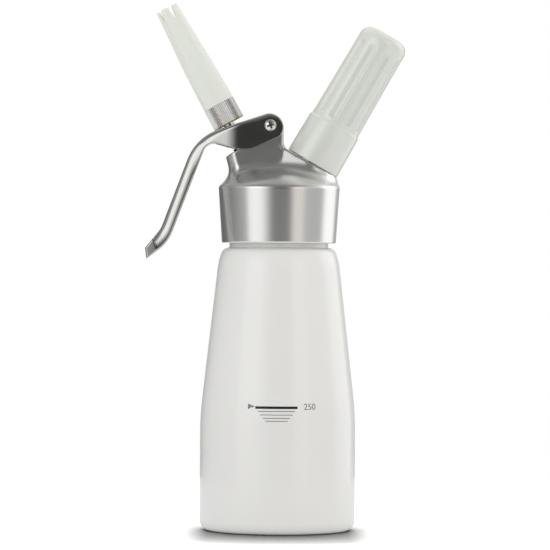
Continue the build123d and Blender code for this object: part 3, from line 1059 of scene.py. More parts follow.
@dataclass(frozen=True)
class Ink:
    """Screen-printed ink."""

    name: str
    colour: Colour
    tones: Point = (1.0, 1.25)
    roughness: Point = (0.4, 0.5)
    fleck_size: float = 0.4

    def make(self) -> bpy.types.Material:
        """Build the material.

        Returns:
            The material.
        """
        surface = Surface(self.name)
        fleck = surface.noise(self.fleck_size)
        return surface.finished(
            base_color=surface.toned(fleck, self.colour, self.tones),
            roughness=surface.between(fleck, *self.roughness),
        )


@dataclass
class Workshop:
    """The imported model, its main axes and what every sub-assembly needs from it."""

    frame: dict
    upright: AxisFrame = field(init=False)
    valve: AxisFrame = field(init=False)
    charger: AxisFrame = field(init=False)
    lever: AxisFrame = field(init=False)

    def __post_init__(self) -> None:
        """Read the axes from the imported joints."""
        joints = self.frame["joints"]
        self.upright = AxisFrame(Vector((0, 0, 0)), Vector((0, 0, 1)))
        self.valve = AxisFrame.of_joint(joints, "nozzle_turn")
        self.charger = AxisFrame.of_joint(joints, "holder_turn")
        pivot = AxisFrame.of_joint(joints, "lever_squeeze")
        self.lever = AxisFrame(pivot.origin, Vector((0, 0, 1)))

    @property
    def pivot(self) -> Matrix:
        """Matrix from millimetres along the lever's pivot, +Z towards the camera, to the object."""
        return self.lever.matrix @ Matrix.Rotation(pi / 2, 4, "X")

    def dress(self, node: str, material: bpy.types.Material) -> None:
        """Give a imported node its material.

        Args:
            node: Name of the node.
            material: The finish that it shows.
        """
        piece = self.frame["nodes"][node]
        piece.data.materials.clear()
        piece.data.materials.append(material)
        LOG.info("dressed %s in %s", node, material.name)

    def hand_over(
        self, piece: bpy.types.Object, body: str, slot: str, material: bpy.types.Material, *nodes: str
    ) -> None:
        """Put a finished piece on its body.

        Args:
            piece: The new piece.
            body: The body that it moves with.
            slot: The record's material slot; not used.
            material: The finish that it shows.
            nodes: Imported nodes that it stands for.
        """
        piece.data.materials.clear()
        piece.data.materials.append(material)
        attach(piece, body)
        if nodes:
            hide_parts(*nodes)
        LOG.info("built %s, %d faces, on %s", piece.name, len(piece.data.polygons), body)


@dataclass
class Bottle:
    """The lacquered bottle and the filling mark printed on its front."""

    shop: Workshop
    radius: float = 38.0
    straight: float = 48.2
    sweep: float = 150.0
    bar_level: float = 61.5
    bar_size: Point = (20.9, 1.2)
    line_levels: tuple[float, ...] = (59.7, 58.0, 56.4, 55.0)
    line_lengths: tuple[float, ...] = (18.3, 15.9, 13.2, 10.9)
    line_height: float = 0.33
    mark_centre: float = -0.7
    patch_columns: int = 24
    ink_height: float = 0.03
    number_text: str = "250"
    number_place: Point = (16.1, 61.75)
    number_height: float = 3.0
    digit_share: float = 0.7
    digit_steps: int = 4
    pointer_place: Point = (-15.0, 62.0)
    pointer_size: Point = (3.6, 2.6)

    def skin(self, height: float) -> float:
        """Radius of the bottle at a height in its blend."""
        rise = max(height - self.straight, 0.0)
        return self.radius - (self.sweep - sqrt(self.sweep**2 - rise**2))

    def wrap(self, place: Vector) -> Vector:
        """Lay a flat point on the bottle's front.

        Args:
            place: x round the bottle, z up and y the ink's height.

        Returns:
            The place on the bottle.
        """
        radius = self.skin(place.z) + place.y
        angle = place.x / self.radius
        return Vector((radius * sin(angle), -radius * cos(angle), place.z))

    def inked(self, shape: Shape, centre: Point, size: Point = (1.0, 1.0)) -> Shape:
        """Print a flat drawing on the bottle.

        Laying it on the bottle mirrors it, so its faces are turned outwards once more.

        Args:
            shape: The drawing, with x to the right and y up.
            centre: Where its origin goes, round the bottle and up.
            size: How much wider and higher it is printed than it is drawn.

        Returns:
            The closed patch of ink.
        """
        (x, z), (width, height) = centre, size
        shape.moved(lambda p: Vector((x + p.x * width, 0, z + p.y * height)))
        return shape.pulled((0, self.ink_height, 0)).moved(self.wrap).closed()

    def bar(self, level: float, size: Point) -> Shape:
        """A rectangle of ink in the middle of the mark.

        Args:
            level: Height of its centre.
            size: Its width and height.

        Returns:
            The closed patch of ink.
        """
        shape = Shape()
        bmesh.ops.create_grid(shape.bm, x_segments=self.patch_columns, y_segments=2, size=0.5)
        return self.inked(shape, (self.mark_centre, level), size)

    def number(self) -> Shape:
        """The printed number.

        Returns:
            Its closed patches of ink, laid on the bottle.
        """
        text = bpy.data.curves.new("number", "FONT")
        text.body = self.number_text
        text.size = self.number_height / self.digit_share
        text.align_x = "CENTER"
        text.align_y = "CENTER"
        text.resolution_u = self.digit_steps
        drawn = bpy.data.objects.new("number", text)
        bpy.context.scene.collection.objects.link(drawn)
        mesh = mesh_of(drawn)
        shape = Shape()
        shape.bm.from_mesh(mesh)
        bmesh.ops.remove_doubles(shape.bm, verts=shape.bm.verts[:], dist=MERGE_GAP)
        bpy.data.meshes.remove(mesh)
        return self.inked(shape, self.number_place)

    def pointer(self) -> Shape:
        """A small triangle that points at the bar.

        Returns:
            The closed patch of ink.
        """
        shape = Shape()
        corners = ((0, -0.5, 0), (1, 0, 0), (0, 0.5, 0))
        shape.bm.faces.new([shape.bm.verts.new(corner) for corner in corners])
        return self.inked(shape, self.pointer_place, self.pointer_size)

    def build(self, lacquer: Lacquer, black: Ink, grey: Ink) -> None:
        """Dress the bottle and print its mark.

        Args:
            lacquer: Finish of the bottle.
            black: Ink of the bar.
            grey: Ink of the lines under it, the pointer and the number.
        """
        self.shop.dress("bottle", lacquer.make())
        black_ink, grey_ink = black.make(), grey.make()
        prints = [("level_bar", self.bar(self.bar_level, self.bar_size), black_ink)]
        for i, (level, length) in enumerate(zip(self.line_levels, self.line_lengths), 1):
            prints.append((f"level_line_{i}", self.bar(level, (length, self.line_height)), grey_ink))
        prints.append(("level_number", self.number(), grey_ink))
        prints.append(("level_pointer", self.pointer(), grey_ink))
        for name, shape, ink in prints:
            piece = shape.placed(self.shop.upright.matrix).as_object(name)
            self.shop.hand_over(piece, "bottle", "black_plastic", ink)


def round_max(first: Values, second: Values, radius: float) -> Values:
    """Greater of two distances, with a rounded outer edge where they meet.

    Args:
        first: Distances from one surface.
        second: Distances from the other.
        radius: Radius of the edge.

    Returns:
        Distances from what lies inside both.
    """
    edge = np.hypot(np.maximum(first + radius, 0), np.maximum(second + radius, 0))
    return edge + np.minimum(np.maximum(first, second) + radius, 0) - radius


def soft_min(first: Values, second: Values, width: Values | float) -> Values:
    """Smaller of two distances, with a hollow rounding where they meet.

    Args:
        first: Distances from one surface.
        second: Distances from the other.
        width: Reach of the rounding on each side.

    Returns:
        Distances from what lies inside either.
    """
    near = np.maximum(width - np.abs(first - second), 0) / width
    return np.minimum(first, second) - near**2 * width / 4


@dataclass
class Head:
    """The aluminium casting: turned skirt and roof, and the tower that carries valve, lever and charger.

    Its outside is drawn as distances from plain forms that run together. A rough mesh of those forms is
    smoothed and brought onto the zero of the distance in turns.
    """

    shop: Workshop
    voxel: float = 0.45
    rounds: int = 9
    passes: int = 4
    probe: float = 0.01
    smoothing: float = 0.5
    least_slope: float = 0.25
    sharp: float = 50.0
    skirt_foot: Point = (27.9, 140.565)
    skirt_top: Point = (29.7, 168.065)
    foot_edge: float = 0.6
    roof_rise: float = 7.64
    roof_edge: float = 0.8
    tower_foot: float = 164.0
    tower_left: Point = (-26.2, 182.6)
    tower_lean: float = 0.265
    tower_half: Point = (9.7, 190.0)
    tower_flare: float = 0.05
    tower_squash: float = 1.9
    tower_top: float = -16.0
    least_out: float = 1e-3
    least_side: float = 1e-6
    rough_inset: float = 3.0
    boss_face: float = -13.6
    boss_half: float = 9.6
    boss_edge: float = 0.7
    lug_shift: float = 0.4
    lug_drop: float = 0.6
    lug_radius: float = 6.0
    lug_half: float = 9.6
    lug_edge: float = 1.1
    seat_radius: float = 13.3
    seat_depth: float = 14.0
    seat_edge: float = 1.1
    web_length: float = 12.0
    web_radius: float = 10.35
    seat_flow: Point = (0.3, 2.4)
    flow_change: float = 2.0
    roof_flow: float = 6.0
    skirt_bore: tuple[Point, ...] = ((25.5, 138.0), (25.5, 161.565), (19.0, 161.565), (19.0, 167.565))
    valve_bore: tuple[Point, ...] = (
        (8.0, -44.9),
        (8.0, -32.9),
        (4.6, -32.9),
        (4.6, -29.0),
        (5.5, -29.0),
        (5.5, -19.0),
        (8.0, -19.0),
        (8.0, -11.6),
    )
    charger_bore: tuple[Point, ...] = (
        (1.2, -16.08),
        (1.2, -6.5),
        (3.0, -6.5),
        (3.0, -3.5),
        (4.0, -3.5),
        (4.0, 4.5),
        (5.0, 4.5),
        (5.0, 16.0),
    )
    post: tuple[Point, ...] = ((10.3, -3.0), (10.3, 15.0))
    thread_radius: float = 10.1
    thread_round: float = 0.8
    thread_start: float = 3.5
    thread_pitch: float = 3.0
    thread_turns: int = 3
    pivot_bore: float = 2.05
    drill_past: float = 1.0
    turn_steps: int = 96
    thread_steps: int = 64
    bore_steps: int = 128
    seat_sides: int = 64
    pivot_sides: int = 48

    @property
    def lug_right(self) -> float:
        """Place of the lug's right wall."""
        return self.shop.lever.origin.x / MM + self.lug_shift + self.lug_radius

    def body_gap(self, places: Values) -> Values:
        """Distance from the turned skirt and roof.

        Args:
            places: Points, one to a row.

        Returns:
            The distances, less than nought inside.
        """
        (foot, low), (top, high) = self.skirt_foot, self.skirt_top
        away, height = np.hypot(places[:, 0], places[:, 1]), places[:, 2]
        roof = height - high - self.roof_rise * (1 - (away / top) ** 4)
        roof = roof / np.sqrt(1 + (4 * self.roof_rise * away**3 / top**4) ** 2)
        skirt = away - foot - (top - foot) * (height - low) / (high - low)
        return round_max(round_max(roof, skirt, self.roof_edge), low - height, self.foot_edge)

    def lug_gap(self, places: Values) -> Values:
        """Distance from the lug that the lever turns on.

        Args:
            places: Points, one to a row.

        Returns:
            The distances, less than nought inside.
        """
        pivot = self.shop.lever.origin / MM
        across = places[:, 0] - pivot.x - self.lug_shift
        rise = np.maximum(places[:, 2] - pivot.z + self.lug_drop, 0)
        side = np.abs(places[:, 1]) - self.lug_half
        return round_max(np.hypot(across, rise) - self.lug_radius, side, self.lug_edge)

    def tower_gap(self, places: Values) -> Values:
        """Distance from the tower, whose left end is the valve boss.

        Args:
            places: Points, one to a row.

        Returns:
            The distances, less than nought inside.
        """
        x, y, height = places.T
        level, at = self.tower_half
        half = level + self.tower_flare * (at - height)
        left, left_at = self.tower_left
        end = left + self.tower_lean * (left_at - height) + half / self.tower_squash
        reach = np.maximum(end - x, 0) * self.tower_squash
        out = np.maximum(np.hypot(reach, y), self.least_out)
        wall = (out - half) * out / np.hypot(reach * self.tower_squash, y + self.least_side)
        wall = round_max(wall, x - self.lug_right, self.lug_edge)
        along, across = self.shop.valve.plan(places)
        low = round_max(wall, along - self.tower_top, self.boss_edge)
        boss = round_max(np.maximum(wall, across - self.boss_half), along - self.boss_face, self.boss_edge)
        tower = np.minimum(np.minimum(low, boss), self.lug_gap(places))
        return np.maximum(tower, self.tower_foot - height)

    def seat_gap(self, places: Values) -> Values:
        """Distance from the charger's seat and the web that joins it to the tower.

        Args:
            places: Points, one to a row.

        Returns:
            The distances, less than nought inside.
        """
        along, across = self.shop.charger.plan(places)
        depth = np.abs(places[:, 1])
        lead = (self.seat_radius - self.web_radius) / self.web_length
        level = sqrt(1 - lead**2)
        place = -lead * depth - level * across
        flank = level * depth - lead * across - self.seat_radius
        seat = np.hypot(depth, across) - self.seat_radius
        web_end = np.hypot(depth, across + self.web_length) - self.web_radius
        side = np.where(place < 0, seat, np.where(place > level * self.web_length, web_end, flank))
        return np.maximum(round_max(side, along, self.seat_edge), -along - self.seat_depth)

    def gap(self, places: Values) -> Values:
        """Distance from the whole casting's outside, its forms run together.

        Args:
            places: Points, one to a row.

        Returns:
            The distances, less than nought inside.
        """
        along, _ = self.shop.charger.plan(places)
        side_flow, top_flow = self.seat_flow
        flow = mix(side_flow, top_flow, np.clip((along + self.flow_change) / self.flow_change, 0, 1))
        upper = soft_min(self.tower_gap(places), self.seat_gap(places), flow)
        return soft_min(upper, self.body_gap(places), self.roof_flow)

    def settled(self, places: Values) -> Values:
        """Bring points onto the flowing form.

        Args:
            places: Points near it, one to a row.

        Returns:
            Points on it.
        """
        probes = np.eye(3) * self.probe
        for _ in range(self.passes):
            gap = self.gap(places)
            slope = np.stack([(self.gap(places + move) - gap) / self.probe for move in probes], axis=1)
            steep = np.maximum((slope**2).sum(axis=1), self.least_slope)
            places = places - slope * (gap / steep)[:, None]
        return places

    def rough_form(self) -> Shape:
        """Plain solids, one in the other, that the flowing form is drawn from.

        Returns:
            The solids in one shape, in millimetres on the object.
        """
        (foot, low), (top, high) = self.skirt_foot, self.skirt_top
        profile = [(0.0, low), (foot, low), (top, high), (0.0, high + self.roof_rise)]
        form = Shape.turned(profile, self.turn_steps)
        left, right = self.tower_left, self.lug_right
        pivot = self.shop.lever.origin / MM
        tower = [
            (left[0] + self.rough_inset, self.tower_foot),
            left,
            (right - 2 * self.lug_radius, pivot.z - self.lug_radius),
            (right - 2 * self.lug_radius, pivot.z),
            (right - self.lug_radius, pivot.z + self.lug_radius - self.lug_drop),
            (right, pivot.z),
            (right, self.tower_foot),
        ]
        form.added(Shape.prism(tower, self.lug_half))
        to_mm = Matrix.Scale(1 / MM, 4) @ self.shop.charger.matrix
        form.added(Shape.rod(self.seat_radius, -self.seat_depth, 0.0, self.seat_sides).placed(to_mm))
        reach = self.web_length + self.web_radius / 2
        size = (reach, 2 * self.web_radius, self.seat_depth)
        form.added(Shape.box(size, (-reach / 2, 0, -self.seat_depth / 2)).placed(to_mm))
        return form

    def outside(self) -> bpy.types.Object:
        """Draw the flowing form from its rough solids.

        Returns:
            The casting's outside in one skin.
        """
        rough = self.rough_form().as_object("head_body")
        remesh = rough.modifiers.new("even", "REMESH")
        remesh.mode = "VOXEL"
        remesh.voxel_size = self.voxel
        mesh = mesh_of(rough)
        soft = Shape()
        soft.bm.from_mesh(mesh)
        bpy.data.meshes.remove(mesh)
        axes = {"use_axis_x": True, "use_axis_y": True, "use_axis_z": True}
        for _ in range(self.rounds):
            bmesh.ops.smooth_vert(soft.bm, verts=soft.bm.verts[:], factor=self.smoothing, **axes)
            for vert, place in zip(soft.bm.verts, self.settled(np.array([v.co for v in soft.bm.verts]))):
                vert.co = place
        return soft.placed(Matrix.Scale(MM, 4)).as_object("head_body", self.sharp)

    def build(self, finish: CastAluminium) -> None:
        """Model the casting, drill it and dress it.

        Args:
            finish: The casting's finish.
        """
        charger = self.shop.charger.matrix
        bores = (
            (self.skirt_bore, self.shop.upright.matrix),
            (self.valve_bore, self.shop.valve.matrix),
            (self.charger_bore, charger),
        )
        post = Shape.turned([(0.0, self.post[0][1]), *self.post, (0.0, self.post[1][1])], self.turn_steps)
        rise = self.thread_pitch * self.thread_turns
        thread = Shape.coil(self.thread_radius, self.thread_round, rise, self.thread_turns, self.thread_steps)
        lift = Matrix.Translation((0, 0, self.thread_start))
        piece = joined(self.outside(), post.placed(charger), "UNION", self.sharp)
        piece = joined(piece, thread.placed(charger @ lift), "UNION", self.sharp)
        for bore, place in bores:
            drill = Shape.turned([(0.0, bore[0][1]), *bore, (0.0, bore[-1][1])], self.bore_steps)
            piece = joined(piece, drill.placed(place), "DIFFERENCE", self.sharp)
        reach = self.lug_half + self.drill_past
        pin = Shape.rod(self.pivot_bore, -reach, reach, self.pivot_sides)
        piece = joined(piece, pin.placed(self.shop.pivot), "DIFFERENCE", self.sharp)
        self.shop.hand_over(piece, "head", "satin_aluminium", finish.make(), "head_casting")


@dataclass(frozen=True)
class Slice:
    """One section through the lever.

    It has two ends and a widest point in the side view, a rounding at each end, the slant of its flank and
    how much narrower it is on each side than the lever is wide there.
    """

    top: Vector
    middle: Vector
    foot: Vector
    top_round: float
    foot_round: float
    top_depth: float
    lean: float = 0.0
    narrowing: float = 0.0


@dataclass
class Lever:
    """The steel fork and handle, drawn in its pivot's frame."""

    shop: Workshop
    eye_top: Point = (-2.1, 5.7)
    eye_right: Point = (6.1, 0.0)
    eye_foot: Point = (4.1, -5.6)
    eye_steps: int = 18
    eye_reach: float = 8.0
    eye_round: float = 0.25
    eye_hole: float = 2.05
    upper: tuple[Point, ...] = ((-36.4, -5.7), (-53.3, -50.5), (-60.95, -60.0))
    upper_rounds: tuple[float, ...] = (25.0, 12.0)
    lower: tuple[Point, ...] = ((-11.7, -12.5), (-31.1, -7.8), (-50.0, -57.4), (-60.3, -65.2))
    lower_rounds: tuple[float, ...] = (16.0, 5.0, 20.0)
    arc_step: float = 2.5
    upright_to: float = -26.0
    fork_steps: int = 60
    handle_steps: tuple[int, ...] = (24, 36, 44)
    fork_half: float = 13.2
    cheek: float = 2.5
    handle_half: float = 7.6
    narrow_from: float = -17.4
    narrow_to: float = -34.9
    fold: float = -18.2
    fold_soft: float = 4.6
    waist_soft: float = 3.0
    crown_lead: float = 3.0
    crown_to: float = -6.0
    crown_round: float = 2.6
    top_round: float = 2.0
    foot_round: float = 0.1
    handle_widest: float = 0.88
    handle_depth: float = 0.43
    handle_lean: float = 0.10
    top_share: float = 0.95
    foot_share: float = 0.9
    facet_length: float = 6.0
    facet_soft: float = 0.5
    facet_drop: float = 0.95
    facet_round: float = 0.9
    tip_round: float = 1.0
    hold: float = 0.2
    round_limit: float = 0.96
    hold_limit: float = 0.98
    round_steps: int = 7
    web: float = 2.0
    web_end: float = -7.3
    channel_end: float = -26.4
    channel_low: float = -30.0
    channel_reach: float = 14.0
    channel_soft: float = 1.3
    channel_lead: float = 2.0
    channel_cuts: int = 11
    nose_level: float = -5.6
    nose_radius: float = 1.6
    slot_radius: float = 3.9
    slot_stretch: float = 2.2
    slot_top: float = 12.0
    slot_gap: float = 0.05
    drill_past: float = 1.0
    nose_sides: int = 40
    slot_sides: int = 64
    hole_sides: int = 48

    @property
    def eye_centre(self) -> Vector:
        """Middle of the eye."""
        return circle_centre(self.eye_top, self.eye_right, self.eye_foot)

    def eye_arc(self, end: Point) -> list[Vector]:
        """Points on the eye's rim, from its right end to one of the two corners.

        Args:
            end: The corner.

        Returns:
            The points.
        """
        middle = self.eye_centre
        size = (Vector(self.eye_right) - middle).length
        last = atan2(end[1] - middle.y, end[0] - middle.x)
        return [middle + Vector((size * cos(a), size * sin(a))) for a in spread(0.0, last, self.eye_steps)]

    def slices(self) -> list[Slice]:
        """Sections all along the lever.

        Returns:
            The sections, from the eye's right end to the handle's tip.
        """
        centre = self.eye_centre
        found = []
        for i, (top, foot) in enumerate(zip(self.eye_arc(self.eye_top), self.eye_arc(self.eye_foot))):
            top_round = mix(self.eye_round, self.crown_round, blend(0, self.eye_steps, i))
            found.append(Slice(top, centre, foot, top_round, self.eye_round, top_round))
        upper = Track(rounded([self.eye_top, *self.upper], self.upper_rounds, self.arc_step))
        lower = Track(rounded([self.eye_foot, *self.lower], self.lower_rounds, self.arc_step))
        for a, b in self.upright_pairs(upper, lower) + self.turning_pairs(upper, lower):
            found.append(self.plain_slice(upper.at(a), lower.at(b), upper.length - a, centre))
        return found

    def upright_pairs(self, upper: Track, lower: Track) -> list[Point]:
        """Matching lengths on both outlines for the fork, whose sections stand upright past the eye.

        Args:
            upper: The upper outline.
            lower: The lower outline.

        Returns:
            Pairs of a length on the upper outline and one on the lower.
        """
        pairs = []
        lead = self.eye_foot[0] - self.eye_top[0]
        for i, x in enumerate(spread(self.eye_top[0], self.upright_to, self.fork_steps)[1:], 1):
            ahead = lead * (1 - blend(0, self.eye_steps, i))
            pairs.append((upper.at_x(x), lower.at_x(x + ahead)))
        return pairs

    def turning_pairs(self, upper: Track, lower: Track) -> list[Point]:
        """Matching lengths on both outlines from the fork's end to the tip.

        Args:
            upper: The upper outline.
            lower: The lower outline.

        Returns:
            Pairs of a length on the upper outline and one on the lower.
        """
        stops_up = [upper.at_x(self.upright_to), *(upper.near(p) for p in self.upper[:2]), upper.length]
        stops_low = [lower.at_x(self.upright_to), *(lower.near(p) for p in self.lower[1:3]), lower.length]
        pairs = []
        for i, steps in enumerate(self.handle_steps):
            up, low = spread(*stops_up[i : i + 2], steps), spread(*stops_low[i : i + 2], steps)
            pairs += list(zip(up[1:], low[1:]))
        return pairs

    def plain_slice(self, top: Vector, foot: Vector, to_tip: float, centre: Vector) -> Slice:
        """Section of the fork or the handle.

        Args:
            top: Its upper end.
            foot: Its lower end.
            to_tip: Distance left to the tip.
            centre: Middle of the eye, which the first sections bend round.

        Returns:
            The section.
        """
        height = (top - foot).length
        eye_end = self.eye_top[0]
        near_eye = 1 - blend(eye_end, eye_end - self.eye_reach, top.x) if top.x > self.upright_to else 0.0
        bar = 1 - blend(self.narrow_to, self.fold, top.x)
        crown = 1 - blend(self.fold + self.crown_lead, self.crown_to, top.x)
        facet = 1 - blend(self.facet_length - self.facet_soft, self.facet_length + self.facet_soft, to_tip)
        widest = mix(0.5, self.handle_widest, bar)
        middle = top.lerp(foot, widest)
        middle += (centre - middle) * near_eye
        fork_round = mix(self.crown_round, self.top_round, crown)
        low = mix(self.foot_round, self.eye_round, near_eye)
        top_round = mix(mix(fork_round, self.top_share * widest * height, bar), self.facet_round, facet)
        top_depth = mix(mix(fork_round, self.handle_depth * height, bar), self.facet_round, facet)
        foot_round = mix(low, self.foot_share * (1 - widest) * height, bar)
        foot_round = mix(foot_round, min(self.facet_round, foot_round), facet)
        lean = self.handle_lean * bar * (1 - facet)
        drop = self.facet_drop * max(0.0, 1 - to_tip / self.facet_length)
        if to_tip < self.tip_round:
            drop += self.tip_round - sqrt(self.tip_round**2 - (self.tip_round - to_tip) ** 2)
        return Slice(top, middle, foot, top_round, foot_round, top_depth, lean, drop)

    def side_nodes(self, piece: Slice) -> list[tuple[Vector, float]]:
        """Points down one side of a section, each with its distance in from the widest line.

        Args:
            piece: The section.

        Returns:
            The points, from the top to the foot.
        """
        nodes = []
        rounds = (
            (piece.top, piece.top_round, piece.top_depth, piece.lean),
            (piece.foot, piece.foot_round, piece.foot_round, 0.0),
        )
        for end, wanted, depth, lean in rounds:
            reach = (piece.middle - end).length
            into = (piece.middle - end).normalized()
            size = min(wanted, self.round_limit * reach)
            half = [(end, depth + self.hold + lean * reach)]
            for angle in spread(0.0, pi / 2, self.round_steps):
                far = size * (1 - cos(angle))
                half.append((end + into * far, depth * (1 - sin(angle)) + lean * (reach - far)))
            far = min(size + self.hold, self.hold_limit * reach)
            half.append((end + into * far, lean * (reach - far)))
            nodes.append(half)
        return [*nodes[0], (piece.middle, 0.0), *reversed(nodes[1])]

    def ring(self, piece: Slice) -> list[Vector]:
        """Points round a section.

        Args:
            piece: The section.

        Returns:
            The points, down the near side and up the far one.
        """
        nodes = self.side_nodes(piece)
        ring = []
        for hand, order in ((-1, nodes), (1, nodes[::-1])):
            for place, inset in order:
                y = hand * (self.half_width(place.x) - inset - piece.narrowing)
                ring.append(Vector((place.x, y, place.y)))
        return ring

    def half_width(self, x: float) -> float:
        """Half the lever's width.

        Args:
            x: Distance from the pivot.

        Returns:
            The half width there.
        """
        slope = (self.fork_half - self.handle_half) / (self.fold - self.narrow_to)
        drop = slope * soft_ramp(self.fold - x, self.fold_soft)
        waist = soft_ramp(self.fork_half - drop - self.handle_half, slope * self.waist_soft)
        return self.handle_half + waist

    def web_foot(self, x: float) -> float:
        """Height of the web's underside at a distance from the pivot."""
        slope = (self.eye_top[1] - self.upper[0][1]) / (self.eye_top[0] - self.upper[0][0])
        return self.eye_top[1] + slope * (x - self.eye_top[0]) - self.web * sqrt(1 + slope**2)

    def inner_half(self, x: float) -> float:
        """Half the width of the hollow between the cheeks, at a distance from the pivot."""
        slope = (self.fork_half - self.handle_half) / (self.narrow_from - self.narrow_to)
        return self.fork_half - self.cheek - slope * soft_ramp(self.narrow_from - x, self.channel_soft)

    def channel(self) -> Shape:
        """The hollow between the cheeks, under the web.

        Returns:
            The shape to cut away.
        """
        far, reach, low = self.channel_end, self.channel_reach, self.channel_low
        outline = [
            (self.web_end, reach),
            (self.web_end, self.web_foot(self.web_end)),
            (far, self.web_foot(far)),
            (far, low),
            (reach, low),
            (reach, reach),
        ]
        cuts = [self.narrow_from + self.channel_lead - i for i in range(self.channel_cuts)]
        shape = Shape.prism(outline, 1.0).sliced(cuts)
        return shape.moved(lambda p: Vector((p.x, self.inner_half(p.x) * (1 if p.y > 0 else -1), p.z)))

    def build(self, finish: Metal) -> None:
        """Model the lever and dress it.

        Args:
            finish: The lever's finish.
        """
        pivot, valve = self.shop.lever.matrix, self.shop.valve.matrix
        body = Shape.skinned([self.ring(piece) for piece in self.slices()])
        piece = joined(body.placed(pivot).as_object("lever_bar"), self.channel().placed(pivot), "DIFFERENCE")
        bar_half = (self.inner_half(0.0) + self.inner_half(self.channel_end)) / 2
        nose = Shape.rod(self.nose_radius, -bar_half, bar_half, self.nose_sides)
        lift = Matrix.Translation((0, 0, self.nose_level + self.nose_radius))
        piece = joined(piece, nose.placed(valve @ lift @ Matrix.Rotation(pi / 2, 4, "X")), "UNION")
        low = self.nose_level - self.slot_gap
        slot = Shape.rod(self.slot_radius, low, self.slot_top, self.slot_sides, self.slot_stretch)
        piece = joined(piece, slot.placed(valve), "DIFFERENCE")
        reach = self.fork_half + self.drill_past
        hole = Shape.rod(self.eye_hole, -reach, reach, self.hole_sides)
        piece = joined(piece, hole.placed(self.shop.pivot), "DIFFERENCE")
        self.shop.hand_over(piece, "lever", "polished_steel", finish.make(), "lever")


@dataclass
class PivotScrew:
    """The pan-head screw that the lever turns on, drawn along its own axis towards the camera."""

    shop: Workshop
    shank: float = 2.0
    far_end: float = -14.9
    seat: float = 13.3
    head_radius: float = 2.88
    head_rim: float = 0.3
    head_height: float = 1.9
    recess_size: Size = (3.5, 0.95, 1.5)
    recess_turns: Point = (20.0, 110.0)
    dome_steps: int = 10
    sides: int = 64

    def build(self, finish: Metal) -> None:
        """Model the screw and dress it.

        Args:
            finish: The screw's finish.
        """
        rim, dome = self.seat + self.head_rim, self.head_height - self.head_rim
        outline = [(0.0, self.far_end), (self.shank, self.far_end), (self.shank, self.seat)]
        outline.append((self.head_radius, self.seat))
        for angle in spread(0.0, pi / 2, self.dome_steps)[:-1]:
            outline.append((self.head_radius * cos(angle), rim + dome * sin(angle)))
        outline.append((0.0, rim + dome))
        place = self.shop.pivot
        piece = Shape.turned(outline, self.sides).placed(place).as_object("pivot_pan_screw")
        for turn in self.recess_turns:
            tool = Shape.box(self.recess_size, (0, 0, self.seat + self.head_height))
            piece = joined(piece, tool.placed(place @ Matrix.Rotation(radians(turn), 4, "Z")), "DIFFERENCE")
        self.shop.hand_over(piece, "head", "polished_steel", finish.make(), "pivot_screw")


def from_nearest(place: Vector, count: int, turn: float) -> float:
    """Angle round the Z axis from the nearest of several evenly spaced marks.

    Args:
        place: A point round the axis.
        count: Number of marks.
        turn: Degrees from -Y to one of them.

    Returns:
        Radians from the nearest mark, on either side of nought.
    """
    pitch = 2 * pi / count
    angle = atan2(place.y, place.x) - radians(turn - 90)
    return (angle + pitch / 2) % pitch - pitch / 2


